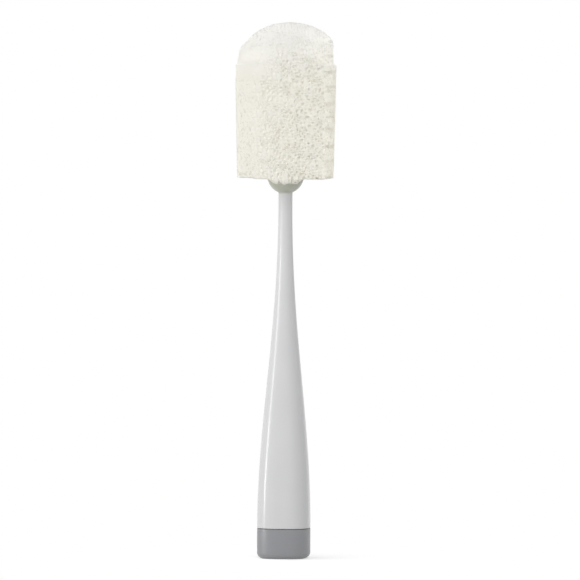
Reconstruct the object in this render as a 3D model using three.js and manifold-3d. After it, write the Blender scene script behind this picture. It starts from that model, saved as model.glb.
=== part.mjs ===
// A cup brush: a domed foam head on a tapered handle that stands on a weighted, booted foot.
// Millimetres, +Z up along the handle. The origin is the middle of the foot's underside.
import * as THREE from "three";
import { mergeVertices } from "three/addons/utils/BufferGeometryUtils.js";
import Module from "manifold-3d";

// Outer form of the boot, the handle and the bowl
const BOOT_HEIGHT = 15; // soft boot on the foot, floor to seam
const BOOT_FILLET = 3; // rounded lower edge of the boot
const FOOT_HALF = 13.1; // half the width across the flats at the foot
const FOOT_POWER = 3; // superellipse power of the foot's section, where 2 is round
const ROUND_RISE = 135; // rise above the boot at which the section has become round
const TAPER_RISE = 161; // rise of the tapering flank, seam to neck
const FOOT_PULL = 56; // length over which the flank leaves the foot's width
const NECK_PULL = 63.5; // length over which the flank eases into the neck
const NECK_RADIUS = 3.5;
const NECK_LENGTH = 7; // straight neck below the bowl
const BOWL_RADIUS = 9.2; // half-round bowl that carries the head
const BOWL_FILLET = 0.6; // where the neck meets the bowl
const SEAM_ROUND = 0.4; // small rounded edges at the seam and on hard corners

// Fits between pieces
const FIT_GAP = 0.3; // between pieces that seat on, or slide in, one another
const SEAL_GAP = 0.15; // round the two seals

// Inside of the handle shell
const SHELL_WALL = 2.2;
const HOLLOW_RISE = 110; // depth of the hollow above the seam

// Inside of the boot, and the plug that holds it
const BOOT_FLOOR = 2.8;
const BOOT_WALL = 2.4;
const BOOT_LIP = 0.9; // lip of the boot that hooks over the plug's flange
const FLANGE_STEP = 1.2; // the flange stands this proud of the plug's core
const FLANGE_HEIGHT = 1.6;
const SPIGOT_RISE = 18.7; // how far the plug enters the shell
const SNAP_RISE = 14; // underside of the plug's snap bead, above the seam
const SNAP_HEIGHT = 2;
const SNAP_STEP = 0.7; // the bead stands this proud of the spigot
const SEAL_RISE = 6; // underside of the seal, above the seam
const SEAL_HEIGHT = 1.5;
const SEAL_DEPTH = 1.2; // depth of the seal's groove in the plug
const PLUG_WALL = 1.2; // between the seal's groove and the ballast's pocket
const PLUG_ROOF = 3;
const BALLAST_CHAMFER = 0.8;

// Core that carries the foam, and its seat in the bowl
const COLLAR_INSET = 0.3; // the collar's edge lies this far inside the bowl's rim
const COLLAR_HEIGHT = 1.5;
const CORE_PLUG_HEIGHT = 5; // round plug in the bowl, under the collar
const SOCKET_WALL = 1.25; // least wall of the bowl, at the socket's lower corner
const PIN_LENGTH = 13.5; // keyed pin in the neck, under the round plug
const BORE_WALL = 1.4; // wall of the neck round the pin's bore
const PIN_FLAT_CUT = 0.45; // depth of the pin's two flats
const ORING_SECTION = 1.15; // thickness of the O-ring
const ORING_SINK = 1.05; // how much of that thickness lies below the round plug's face
const STEM_RADIUS = 2.6;
const STEM_FOOT = 8; // plain stem between the collar and the first barb
const BARB_COUNT = 4;
const BARB_PITCH = 11;
const BARB_RADIUS = 6;
const BARB_EDGE = 0.8; // upright edge of a barb
const BARB_HEIGHT = 6;

// Foam head
const SPONGE_SINK = 1.8; // the foam's underside lies this far below the bowl's rim
const SPONGE_FOOT_HALF = 21.85; // half width at the underside
const SPONGE_HALF = 23; // half width at the ledge
const SPONGE_EDGE = 1.5; // rounded upright edges
const LEDGE_RISE = 57; // underside to the ledge at the corners
const DOME_RADIUS = 23.85;
const DOME_SHOULDER = 4.3; // upright wall between the ledge and the dome
const DOME_RISE = 17;
const LIP_DROP = 1.8; // the foam sags this far where it closes round the bowl
const LIP_HEM = 0.8; // width of the lip's lower edge
const LIP_SPREAD = 2.5; // width of the lip where it leaves the underside

// Facets
const SIDES = 32; // round the handle, the boot and what fits in them
const CORE_SIDES = 24; // round the head's core and the ballast
const ORING_STEPS = 8;
const FLANK_STEPS = 18;
const HOLLOW_STEPS = 8;
const BOWL_STEPS = 6;
const DOME_STEPS = 8;
const EDGE_STEPS = 4;
const SMALL_EDGE_STEPS = 2;
const CUT_MARGIN = 1; // cutting solids reach this far past the face that they open

// Heights and radii that follow from the sizes above
const seamZ = BOOT_HEIGHT + FIT_GAP;
const neckZ = BOOT_HEIGHT + TAPER_RISE;
const bowlZ = neckZ + NECK_LENGTH;
const rimZ = bowlZ + Math.sqrt(BOWL_RADIUS ** 2 - NECK_RADIUS ** 2);
const collarZ = rimZ + FIT_GAP;
const stemZ = collarZ + COLLAR_HEIGHT;
const corePlugZ = collarZ - CORE_PLUG_HEIGHT;
const pinZ = corePlugZ - PIN_LENGTH;
const socketRadius = Math.sqrt((BOWL_RADIUS - SOCKET_WALL) ** 2 - CORE_PLUG_HEIGHT ** 2);
const corePlugRadius = socketRadius - FIT_GAP;
const boreRadius = NECK_RADIUS - BORE_WALL;
const pinRadius = boreRadius - FIT_GAP;
const pinFlat = pinRadius - PIN_FLAT_CUT;
const undersideZ = rimZ - SPONGE_SINK;
const ledgeZ = undersideZ + LEDGE_RISE;
const shoulderZ = ledgeZ + DOME_SHOULDER;
const apexZ = shoulderZ + DOME_RISE;
const flangeTopZ = BOOT_HEIGHT - BOOT_LIP - FIT_GAP;
const flangeZ = flangeTopZ - FLANGE_HEIGHT;
const plugCoreHalf = FOOT_HALF - BOOT_WALL - FIT_GAP;
const plugTopZ = seamZ + SPIGOT_RISE;
const plugFloorZ = BOOT_FLOOR + FIT_GAP;
const pocketTopZ = plugTopZ - PLUG_ROOF;
const snapZ = seamZ + SNAP_RISE;
const sealZ = seamZ + SEAL_RISE;

// Flank of the handle: half width against height, level with the foot and the neck at its ends.
const flank = new THREE.CubicBezierCurve(
  new THREE.Vector2(FOOT_HALF, BOOT_HEIGHT),
  new THREE.Vector2(FOOT_HALF, BOOT_HEIGHT + FOOT_PULL),
  new THREE.Vector2(NECK_RADIUS, neckZ - NECK_PULL),
  new THREE.Vector2(NECK_RADIUS, neckZ),
);

// Half width of the handle at a height, found on the flank by halving.
function handleHalf(z) {
  let low = 0;
  let high = 1;
  for (let i = 0; i < 40; i++) {
    const middle = (low + high) / 2;
    if (flank.getPoint(middle).y < z) low = middle;
    else high = middle;
  }
  return flank.getPoint(low).x;
}

// The section's power falls smoothly from the foot's to a round 2.
function handlePower(z) {
  const share = THREE.MathUtils.smoothstep(z, BOOT_HEIGHT, BOOT_HEIGHT + ROUND_RISE);
  return THREE.MathUtils.lerp(FOOT_POWER, 2, share);
}

const shellInner = (z) => handleHalf(z) - SHELL_WALL;
const spigotHalf = (z) => shellInner(z) - FIT_GAP;
const pocketRadius = spigotHalf(plugTopZ) - SEAL_DEPTH - PLUG_WALL;

// A station of a loft: a superellipse at a height, with two flats if a half thickness is given.
const ring = (z, half, power = 2, flat = Infinity) => ({ z, half, power, flat });
const footRing = (z, half) => ring(z, half, FOOT_POWER);
const handleRing = (z, half) => ring(z, half, handlePower(z));

// Sine and cosine at even steps round a quarter turn, for rounded edges.
function quarterTurn(steps) {
  return Array.from({ length: steps + 1 }, (_, i) => {
    const angle = (i / steps) * (Math.PI / 2);
    return [Math.sin(angle), Math.cos(angle)];
  });
}

// A closed solid through the stations, in the order that keeps the material on the left of the path.
// An open path ends in flat faces, the last one raised by tip, and a looped path closes on itself.
function loft(stations, { sides = SIDES, tip = 0, looped = false } = {}) {
  const positions = [];
  const index = [];
  for (const { z, half, power, flat } of stations) {
    for (let i = 0; i < sides; i++) {
      const angle = (2 * Math.PI * i) / sides;
      const across = Math.abs(Math.cos(angle));
      const along = Math.abs(Math.sin(angle));
      const free = half / (across ** power + along ** power) ** (1 / power);
      const radius = Math.min(free, flat / across);
      positions.push(radius * Math.cos(angle), radius * Math.sin(angle), z);
    }
  }
  const rows = looped ? stations.length : stations.length - 1;
  for (let row = 0; row < rows; row++) {
    const here = row * sides;
    const next = ((row + 1) % stations.length) * sides;
    for (let i = 0; i < sides; i++) {
      const j = (i + 1) % sides;
      index.push(here + i, here + j, next + j, here + i, next + j, next + i);
    }
  }
  if (!looped) {
    const start = positions.length / 3;
    const last = (stations.length - 1) * sides;
    positions.push(0, 0, stations[0].z, 0, 0, stations.at(-1).z + tip);
    for (let i = 0; i < sides; i++) {
      const j = (i + 1) % sides;
      index.push(start, j, i, start + 1, last + i, last + j);
    }
  }
  const geometry = new THREE.BufferGeometry();
  geometry.setAttribute("position", new THREE.Float32BufferAttribute(positions, 3));
  geometry.setIndex(index);
  geometry.computeVertexNormals();
  return geometry;
}

const wasm = await Module();
wasm.setup();

// A closed geometry as a solid that can be joined and cut.
function toSolid(geometry) {
  const bare = geometry.clone();
  bare.deleteAttribute("normal");
  bare.deleteAttribute("uv");
  const merged = mergeVertices(bare);
  const vertProperties = new Float32Array(merged.attributes.position.array);
  const triVerts = new Uint32Array(merged.index.array);
  return new wasm.Manifold(new wasm.Mesh({ numProp: 3, vertProperties, triVerts }));
}

function toGeometry(solid) {
  const mesh = solid.getMesh();
  const geometry = new THREE.BufferGeometry();
  geometry.setAttribute("position", new THREE.BufferAttribute(mesh.vertProperties, 3));
  geometry.setIndex(new THREE.BufferAttribute(mesh.triVerts, 1));
  geometry.computeVertexNormals();
  return geometry;
}

// Handle shell: up the hollow's wall in reverse, round the seam, up the flank, over the bowl's rim
// and down the socket to the floor of the keyed bore.
function handleShell() {
  const grooveZ = snapZ - FIT_GAP;
  const grooveTopZ = snapZ + SNAP_HEIGHT + FIT_GAP;
  const grooveHalf = (z) => spigotHalf(z) + SNAP_STEP + FIT_GAP;
  const hollow = Array.from({ length: HOLLOW_STEPS + 1 }, (_, i) =>
    THREE.MathUtils.lerp(seamZ + HOLLOW_RISE, plugTopZ, i / HOLLOW_STEPS),
  ).map((z) => handleRing(z, shellInner(z)));
  const snapGroove = [
    handleRing(grooveTopZ, shellInner(grooveTopZ)),
    handleRing(grooveTopZ, grooveHalf(grooveTopZ)),
    handleRing(grooveZ, grooveHalf(grooveZ)),
    handleRing(grooveZ, shellInner(grooveZ)),
  ];
  const seamEdge = quarterTurn(SMALL_EDGE_STEPS).map(([s, c]) =>
    handleRing(seamZ + SEAM_ROUND * (1 - c), handleHalf(seamZ) - SEAM_ROUND * (1 - s)),
  );
  const flankRings = Array.from({ length: FLANK_STEPS }, (_, i) => flank.getPoint((i + 1) / FLANK_STEPS))
    .filter((point) => point.y > seamZ + SEAM_ROUND)
    .map((point) => handleRing(point.y, point.x));
  const bowlStart = Math.asin(NECK_RADIUS / BOWL_RADIUS) + BOWL_FILLET / BOWL_RADIUS;
  const bowl = Array.from({ length: BOWL_STEPS + 1 }, (_, i) =>
    THREE.MathUtils.lerp(bowlStart, Math.PI / 2, i / BOWL_STEPS),
  ).map((angle) => ring(rimZ - BOWL_RADIUS * Math.cos(angle), BOWL_RADIUS * Math.sin(angle)));
  const socketFloorZ = corePlugZ - FIT_GAP;
  return loft([
    ...hollow,
    ...snapGroove,
    handleRing(seamZ, shellInner(seamZ)),
    ...seamEdge,
    ...flankRings,
    ring(bowlZ - BOWL_FILLET, NECK_RADIUS),
    ...bowl,
    ring(rimZ, socketRadius),
    ring(socketFloorZ, socketRadius),
    ring(socketFloorZ, boreRadius, 2, pinFlat + FIT_GAP),
    ring(pinZ - FIT_GAP, boreRadius, 2, pinFlat + FIT_GAP),
  ]);
}

// Foot boot: a soft cup with an inner groove that grips the plug's flange.
function footBoot() {
  const innerHalf = plugCoreHalf + FIT_GAP;
  const grooveHalf = plugCoreHalf + FLANGE_STEP + FIT_GAP;
  const lipHalf = spigotHalf(seamZ) + FIT_GAP;
  const lowerEdge = quarterTurn(EDGE_STEPS).map(([s, c]) =>
    footRing(BOOT_FILLET * (1 - c), FOOT_HALF - BOOT_FILLET * (1 - s)),
  );
  const upperEdge = quarterTurn(SMALL_EDGE_STEPS).map(([s, c]) =>
    footRing(BOOT_HEIGHT - SEAM_ROUND * (1 - s), FOOT_HALF - SEAM_ROUND * (1 - c)),
  );
  return loft([
    ...lowerEdge,
    ...upperEdge,
    footRing(BOOT_HEIGHT, lipHalf),
    footRing(flangeTopZ + FIT_GAP, lipHalf),
    footRing(flangeTopZ + FIT_GAP, grooveHalf),
    footRing(flangeZ - FIT_GAP, grooveHalf),
    footRing(flangeZ - FIT_GAP, innerHalf),
    footRing(BOOT_FLOOR, innerHalf),
  ]);
}

// Foot plug: closes the shell, carries the boot on its flange and the ballast in its pocket.
function footPlug() {
  const grooveZ = sealZ - SEAL_GAP;
  const grooveTopZ = sealZ + SEAL_HEIGHT + SEAL_GAP;
  const grooveHalf = (z) => spigotHalf(z) - SEAL_DEPTH;
  const snapTopZ = snapZ + SNAP_HEIGHT;
  const beadHalf = (z) => spigotHalf(z) + SNAP_STEP;
  return loft([
    ring(pocketTopZ, pocketRadius),
    ring(plugFloorZ, pocketRadius),
    footRing(plugFloorZ, plugCoreHalf),
    footRing(flangeZ, plugCoreHalf),
    footRing(flangeZ, plugCoreHalf + FLANGE_STEP),
    footRing(flangeTopZ, plugCoreHalf + FLANGE_STEP),
    footRing(flangeTopZ, spigotHalf(seamZ)),
    footRing(seamZ, spigotHalf(seamZ)),
    handleRing(grooveZ, spigotHalf(grooveZ)),
    handleRing(grooveZ, grooveHalf(grooveZ)),
    handleRing(grooveTopZ, grooveHalf(grooveTopZ)),
    handleRing(grooveTopZ, spigotHalf(grooveTopZ)),
    handleRing(snapZ, spigotHalf(snapZ)),
    handleRing(snapZ, beadHalf(snapZ)),
    handleRing(snapTopZ - SNAP_STEP, beadHalf(snapTopZ - SNAP_STEP)),
    handleRing(snapTopZ, spigotHalf(snapTopZ)),
    handleRing(plugTopZ - SEAM_ROUND, spigotHalf(plugTopZ)),
    handleRing(plugTopZ, spigotHalf(plugTopZ) - SEAM_ROUND),
  ]);
}

// Seal that closes the gap between the plug and the shell.
function plugSeal() {
  const sealTopZ = sealZ + SEAL_HEIGHT;
  const middleZ = sealZ + SEAL_HEIGHT / 2;
  const inner = (z) => spigotHalf(z) - SEAL_DEPTH + SEAL_GAP;
  const outer = (z) => shellInner(z) - SEAL_GAP;
  const side = (z) => spigotHalf(z);
  return loft(
    [
      handleRing(sealZ, inner(sealZ)),
      handleRing(sealZ, side(sealZ)),
      handleRing(middleZ, outer(middleZ)),
      handleRing(sealTopZ, side(sealTopZ)),
      handleRing(sealTopZ, inner(sealTopZ)),
    ],
    { looped: true },
  );
}

// Ballast: a chamfered slug that fills the plug's pocket down to the boot's floor.
function ballastSlug() {
  const radius = pocketRadius - FIT_GAP;
  const bottomZ = BOOT_FLOOR + FIT_GAP;
  const topZ = pocketTopZ - FIT_GAP;
  return loft(
    [
      ring(bottomZ, radius - BALLAST_CHAMFER),
      ring(bottomZ + BALLAST_CHAMFER, radius),
      ring(topZ - BALLAST_CHAMFER, radius),
      ring(topZ, radius - BALLAST_CHAMFER),
    ],
    { sides: CORE_SIDES },
  );
}

// O-ring on the core's round plug, midway down the socket.
const oringZ = (rimZ + corePlugZ) / 2;
const oringGrooveRadius = corePlugRadius - ORING_SINK - SEAL_GAP;
const oringRadius = corePlugRadius - ORING_SINK + ORING_SECTION / 2;

// Barbed stem above the collar, grown all round by the clearance where the foam is cut to take it.
function stemRings(grow) {
  const barbs = Array.from({ length: BARB_COUNT }, (_, i) => stemZ + STEM_FOOT + i * BARB_PITCH);
  return [
    ring(stemZ, STEM_RADIUS + grow),
    ...barbs.flatMap((z) => [
      ring(z - grow, STEM_RADIUS + grow),
      ring(z - grow, BARB_RADIUS + grow),
      ring(z + BARB_EDGE, BARB_RADIUS + grow),
      ring(z + BARB_HEIGHT + grow, STEM_RADIUS + grow),
    ]),
  ];
}

// Core of the head: keyed pin, round plug with its O-ring groove, collar and barbed stem.
function spongeCore() {
  const grooveHalfHeight = ORING_SECTION / 2 + SEAL_GAP;
  const collarRadius = BOWL_RADIUS - COLLAR_INSET;
  return loft(
    [
      ring(pinZ, pinRadius - SEAM_ROUND, 2, pinFlat - SEAM_ROUND),
      ring(pinZ + SEAM_ROUND, pinRadius, 2, pinFlat),
      ring(corePlugZ, pinRadius, 2, pinFlat),
      ring(corePlugZ, corePlugRadius),
      ring(oringZ - grooveHalfHeight, corePlugRadius),
      ring(oringZ - grooveHalfHeight, oringGrooveRadius),
      ring(oringZ + grooveHalfHeight, oringGrooveRadius),
      ring(oringZ + grooveHalfHeight, corePlugRadius),
      ring(collarZ, corePlugRadius),
      ring(collarZ, collarRadius),
      ring(stemZ - SEAM_ROUND, collarRadius),
      ring(stemZ, collarRadius - SEAM_ROUND),
      ...stemRings(0),
    ],
    { sides: CORE_SIDES },
  );
}

function coreOring() {
  const torus = new THREE.TorusGeometry(oringRadius, ORING_SECTION / 2, ORING_STEPS, CORE_SIDES);
  return torus.translate(0, 0, oringZ);
}

// Square foam block, narrower at its underside than at the ledge.
function spongeBlock() {
  const flat = SPONGE_HALF - SPONGE_EDGE;
  const corners = [
    [flat, -flat],
    [flat, flat],
    [-flat, flat],
    [-flat, -flat],
  ];
  const shape = new THREE.Shape();
  corners.forEach(([x, y], i) => {
    const start = (i - 1) * (Math.PI / 2);
    shape.absarc(x, y, SPONGE_EDGE, start, start + Math.PI / 2);
  });
  const block = new THREE.ExtrudeGeometry(shape, {
    depth: apexZ - undersideZ + CUT_MARGIN,
    bevelEnabled: false,
    curveSegments: EDGE_STEPS,
  });
  const position = block.attributes.position;
  for (let i = 0; i < position.count; i++) {
    const share = position.getZ(i) / LEDGE_RISE;
    const scale = THREE.MathUtils.lerp(SPONGE_FOOT_HALF, SPONGE_HALF, share) / SPONGE_HALF;
    position.setX(i, position.getX(i) * scale);
    position.setY(i, position.getY(i) * scale);
  }
  return block.translate(0, 0, undersideZ);
}

// Foam head: the block with its top turned to a dome, a sagging lip round the bowl, and the core cut out.
function spongeHead() {
  const reach = 2 * SPONGE_HALF;
  const domeEdge = quarterTurn(DOME_STEPS)
    .slice(0, DOME_STEPS)
    .map(([s, c]) => ring(shoulderZ + DOME_RISE * s, DOME_RADIUS * c));
  const turned = loft(
    [
      ring(undersideZ - LIP_DROP - CUT_MARGIN, reach),
      ring(ledgeZ, reach),
      ring(ledgeZ, DOME_RADIUS),
      ...domeEdge,
    ],
    { tip: apexZ - domeEdge.at(-1).z },
  );
  const recessRadius = BOWL_RADIUS + FIT_GAP;
  const lip = loft([
    ring(undersideZ - LIP_DROP, recessRadius + LIP_HEM),
    ring(undersideZ, recessRadius + LIP_SPREAD),
    ring(undersideZ + CUT_MARGIN, recessRadius + LIP_SPREAD),
  ]);
  const recess = loft([
    ring(undersideZ - LIP_DROP - CUT_MARGIN, recessRadius),
    ring(stemZ + FIT_GAP, recessRadius),
  ]);
  const stemHole = loft(stemRings(FIT_GAP), { sides: CORE_SIDES });
  const foam = toSolid(spongeBlock()).intersect(toSolid(turned)).add(toSolid(lip));
  return toGeometry(foam.subtract(toSolid(recess)).subtract(toSolid(stemHole)));
}

// Finishes
const finish = (color, roughness, metalness = 0) => ({ color, roughness, metalness });
const WHITE_PLASTIC = finish(0xe4e4e5, 0.38);
const GREY_RUBBER = finish(0x8f9094, 0.75);
const INNER_PLASTIC = finish(0xd9dad8, 0.5);
const DARK_SEAL = finish(0x34363a, 0.7);
const STEEL = finish(0xa9abad, 0.35, 1);
const FOAM = finish(0xefece0, 0.95);

// The pieces, from the foot up
const pieces = [
  ["foot_boot", footBoot(), GREY_RUBBER],
  ["foot_plug", footPlug(), INNER_PLASTIC],
  ["ballast", ballastSlug(), STEEL],
  ["plug_seal", plugSeal(), DARK_SEAL],
  ["handle_shell", handleShell(), WHITE_PLASTIC],
  ["core_oring", coreOring(), DARK_SEAL],
  ["sponge_core", spongeCore(), INNER_PLASTIC],
  ["sponge", spongeHead(), FOAM],
];

const cupBrush = new THREE.Group();
for (const [name, geometry, look] of pieces) {
  const mesh = new THREE.Mesh(geometry, new THREE.MeshStandardMaterial(look));
  mesh.name = name;
  cupBrush.add(mesh);
}

export default cupBrush;
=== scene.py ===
"""Looks of the cup brush: a cut foam head on a barbed core, a satin handle and a soft booted foot.

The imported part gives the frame. Every piece is built in metres at the origin, rides on the body
that carries it, and wears a material made of nodes.
"""
import logging
import math
from collections.abc import Callable
from dataclasses import dataclass, field
from enum import Enum

import bmesh
import bpy
import numpy as np
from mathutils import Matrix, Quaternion, Vector


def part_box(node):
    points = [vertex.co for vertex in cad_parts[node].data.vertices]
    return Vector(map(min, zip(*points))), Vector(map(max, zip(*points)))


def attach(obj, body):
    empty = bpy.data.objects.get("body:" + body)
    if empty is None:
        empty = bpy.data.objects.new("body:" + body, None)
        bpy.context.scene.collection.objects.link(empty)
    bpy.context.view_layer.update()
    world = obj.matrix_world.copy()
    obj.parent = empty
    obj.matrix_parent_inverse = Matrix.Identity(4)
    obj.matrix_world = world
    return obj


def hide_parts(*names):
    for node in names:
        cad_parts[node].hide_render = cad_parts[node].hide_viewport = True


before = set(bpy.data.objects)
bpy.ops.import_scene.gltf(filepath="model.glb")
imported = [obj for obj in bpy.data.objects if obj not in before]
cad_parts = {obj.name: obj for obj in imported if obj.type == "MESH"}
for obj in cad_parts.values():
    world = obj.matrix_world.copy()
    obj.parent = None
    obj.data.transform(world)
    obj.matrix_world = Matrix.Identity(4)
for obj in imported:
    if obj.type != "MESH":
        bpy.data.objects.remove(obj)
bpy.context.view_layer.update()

MM = 0.001
TINY = 1e-12
ROUND_POWER = 2.0
WELD_DISTANCE = 1e-7
SHARP_BEND = math.radians(32)
FOAM_ONLY = "foam"
MAP_NAME = "OFBake"
LOG = logging.getLogger("cup_brush")

Colour = tuple[float, float, float]
Pair = tuple[float, float]
Trio = tuple[float, float, float]


class Body(Enum):
    """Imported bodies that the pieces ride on."""

    HANDLE = "handle"
    HEAD = "head"


class Slot(Enum):
    """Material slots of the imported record."""

    HANDLE = "handle_plastic"
    BOOT = "boot_rubber"
    INNER = "inner_plastic"
    SEAL = "seal_rubber"
    STEEL = "ballast_steel"
    FOAM = "foam"


class Face(Enum):
    """Cut faces of the foam head, each a web of struts of its own."""

    FRONT = 0
    RIGHT = 1
    BACK = 2
    LEFT = 3
    DOME = 4
    UNDER = 5


class Socket(Enum):
    """Kinds of sockets on the node groups."""

    VECTOR = "NodeSocketVector"
    COLOUR = "NodeSocketColor"
    VALUE = "NodeSocketFloat"
    COUNT = "NodeSocketInt"
    GEOMETRY = "NodeSocketGeometry"
    MATERIAL = "NodeSocketMaterial"


def srgb(red: int, green: int, blue: int) -> Colour:
    """Turn an 8-bit display colour into a linear one."""
    shares = [value / 255 for value in (red, green, blue)]
    return tuple(s / 12.92 if s <= 0.04045 else ((s + 0.055) / 1.055) ** 2.4 for s in shares)


def smoothstep(low: float, high: float, value: np.ndarray | float) -> np.ndarray | float:
    """Ease from 0 at low to 1 at high."""
    share = np.clip((value - low) / (high - low), 0.0, 1.0)
    return share * share * (3 - 2 * share)


class NodeBench:
    """Adds nodes to one tree and feeds their inputs.

    Attributes:
        tree: The node tree that is being built.
    """

    def __init__(self, tree: bpy.types.NodeTree) -> None:
        """Start on a tree."""
        self.tree = tree

    @classmethod
    def blank(cls, owner: bpy.types.Material | bpy.types.World) -> "NodeBench":
        """Start on the emptied tree of a material or a world.

        Args:
            owner: The material or the world.

        Returns:
            The bench.
        """
        owner.use_nodes = True
        owner.node_tree.nodes.clear()
        return cls(owner.node_tree)

    @classmethod
    def group(
        cls, name: str, kind: str, inputs: dict[str, Socket], outputs: dict[str, Socket]
    ) -> "NodeBench":
        """Start on the tree of a new node group.

        Args:
            name: The group's name.
            kind: Type name of its tree.
            inputs: Input names to kinds of sockets.
            outputs: Output names to kinds of sockets.

        Returns:
            The bench.
        """
        tree = bpy.data.node_groups.new(name, kind)
        for way, sockets in (("INPUT", inputs), ("OUTPUT", outputs)):
            for socket, sort in sockets.items():
                tree.interface.new_socket(socket, in_out=way, socket_type=sort.value)
        return cls(tree)

    def add(self, kind: str, inputs: dict | None = None, **settings: object) -> bpy.types.Node:
        """Add a node.

        Args:
            kind: The node's type name.
            inputs: Socket names, identifiers or numbers, to a value or to the socket that feeds them.
            **settings: Properties of the node itself.

        Returns:
            The new node.
        """
        node = self.tree.nodes.new(kind)
        for name, value in settings.items():
            setattr(node, name, value)
        for key, value in (inputs or {}).items():
            self.feed(self._socket(node, key), value)
        return node

    def feed(self, target: bpy.types.NodeSocket, value: object) -> None:
        """Link a socket to its source, or give it a plain value.

        Args:
            target: The input to feed.
            value: A socket or a plain value.
        """
        if isinstance(value, bpy.types.NodeSocket):
            self.tree.links.new(value, target)
        else:
            target.default_value = value

    def blend(self, share: object, first: object, second: object) -> bpy.types.NodeSocket:
        """Mix two colours.

        Args:
            share: Share of the second colour.
            first: The colour at 0.
            second: The colour at 1.

        Returns:
            The mixed colour.
        """
        inputs = {"Factor_Float": share, "A_Color": first, "B_Color": second}
        mix = self.add("ShaderNodeMix", inputs, data_type="RGBA")
        return next(socket for socket in mix.outputs if socket.identifier == "Result_Color")

    @staticmethod
    def _socket(node: bpy.types.Node, key: str | int) -> bpy.types.NodeSocket:
        """Find an input by number, identifier or name.

        Args:
            node: The node.
            key: What the input is known by.

        Returns:
            The input.
        """
        if isinstance(key, int):
            return node.inputs[key]
        return next((s for s in node.inputs if s.identifier == key), None) or node.inputs[key]


class SurfaceEffects:
    """Shader node groups that several finishes place with their own values.

    Attributes:
        grain: Fine moulded texture, with patches that are a little more or less polished.
        drift: Slow drift between two close shades of one colour.
        cast: Painted light or shade, another colour that comes in between two heights.
    """

    GRAIN_DETAIL = 3.0
    PATCH_DETAIL = 2.0
    DRIFT_DETAIL = 4.0
    NOISE_SPAN = {"From Min": 0.3, "From Max": 0.7}

    def __init__(self) -> None:
        """Build the groups once."""
        self.grain = self._grain()
        self.drift = self._drift()
        self.cast = self._painted_light()

    @staticmethod
    def _group(name: str, inputs: dict[str, Socket], outputs: dict[str, Socket]) -> tuple:
        """Start a shader group and give its bench, its inputs and its outputs."""
        bench = NodeBench.group(name, "ShaderNodeTree", inputs, outputs)
        return bench, bench.add("NodeGroupInput").outputs, bench.add("NodeGroupOutput").inputs

    @staticmethod
    def _noise(
        bench: NodeBench, place: bpy.types.NodeSocket, scale: bpy.types.NodeSocket, detail: float
    ) -> bpy.types.NodeSocket:
        """Smooth noise at a place."""
        noise = bench.add("ShaderNodeTexNoise", {"Vector": place, "Scale": scale, "Detail": detail})
        return noise.outputs["Fac"]

    def _grain(self) -> bpy.types.NodeTree:
        """Build the moulded texture.

        Returns:
            The group's tree.
        """
        bench, given, made = self._group(
            "moulded_grain",
            {
                "Vector": Socket.VECTOR,
                "Grain scale": Socket.VALUE,
                "Patch scale": Socket.VALUE,
                "Smoothest": Socket.VALUE,
                "Roughest": Socket.VALUE,
            },
            {"Height": Socket.VALUE, "Roughness": Socket.VALUE},
        )
        grain = self._noise(bench, given["Vector"], given["Grain scale"], self.GRAIN_DETAIL)
        patch = self._noise(bench, given["Vector"], given["Patch scale"], self.PATCH_DETAIL)
        ends = {"To Min": given["Smoothest"], "To Max": given["Roughest"]}
        polish = bench.add("ShaderNodeMapRange", {"Value": patch, **self.NOISE_SPAN, **ends})
        bench.feed(made["Height"], grain)
        bench.feed(made["Roughness"], polish.outputs["Result"])
        return bench.tree

    def _drift(self) -> bpy.types.NodeTree:
        """Build the drift between two shades.

        Returns:
            The group's tree.
        """
        bench, given, made = self._group(
            "colour_drift",
            {"Vector": Socket.VECTOR, "Colour": Socket.COLOUR, "Shade": Socket.COLOUR, "Scale": Socket.VALUE},
            {"Colour": Socket.COLOUR},
        )
        noise = self._noise(bench, given["Vector"], given["Scale"], self.DRIFT_DETAIL)
        share = bench.add("ShaderNodeMapRange", {"Value": noise, **self.NOISE_SPAN}).outputs["Result"]
        bench.feed(made["Colour"], bench.blend(share, given["Colour"], given["Shade"]))
        return bench.tree

    def _painted_light(self) -> bpy.types.NodeTree:
        """Build the painted light or shade that comes in with height.

        Returns:
            The group's tree.
        """
        bench, given, made = self._group(
            "height_painted_light",
            {
                "Vector": Socket.VECTOR,
                "Colour": Socket.COLOUR,
                "Cast": Socket.COLOUR,
                "Start": Socket.VALUE,
                "Full": Socket.VALUE,
            },
            {"Colour": Socket.COLOUR},
        )
        level = bench.add("ShaderNodeSeparateXYZ", {"Vector": given["Vector"]}).outputs["Z"]
        span = {"From Min": given["Start"], "From Max": given["Full"]}
        share = bench.add("ShaderNodeMapRange", {"Value": level, **span}).outputs["Result"]
        bench.feed(made["Colour"], bench.blend(share, given["Colour"], given["Cast"]))
        return bench.tree


@dataclass(frozen=True)
class Cast:
    """Painted light or shade: a colour that a surface takes on towards its top.

    Attributes:
        colour: Linear colour.
        start: Height, in metres, where it begins.
        full: Height, in metres, above which there is nothing else.
    """

    colour: Colour
    start: float
    full: float


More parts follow.
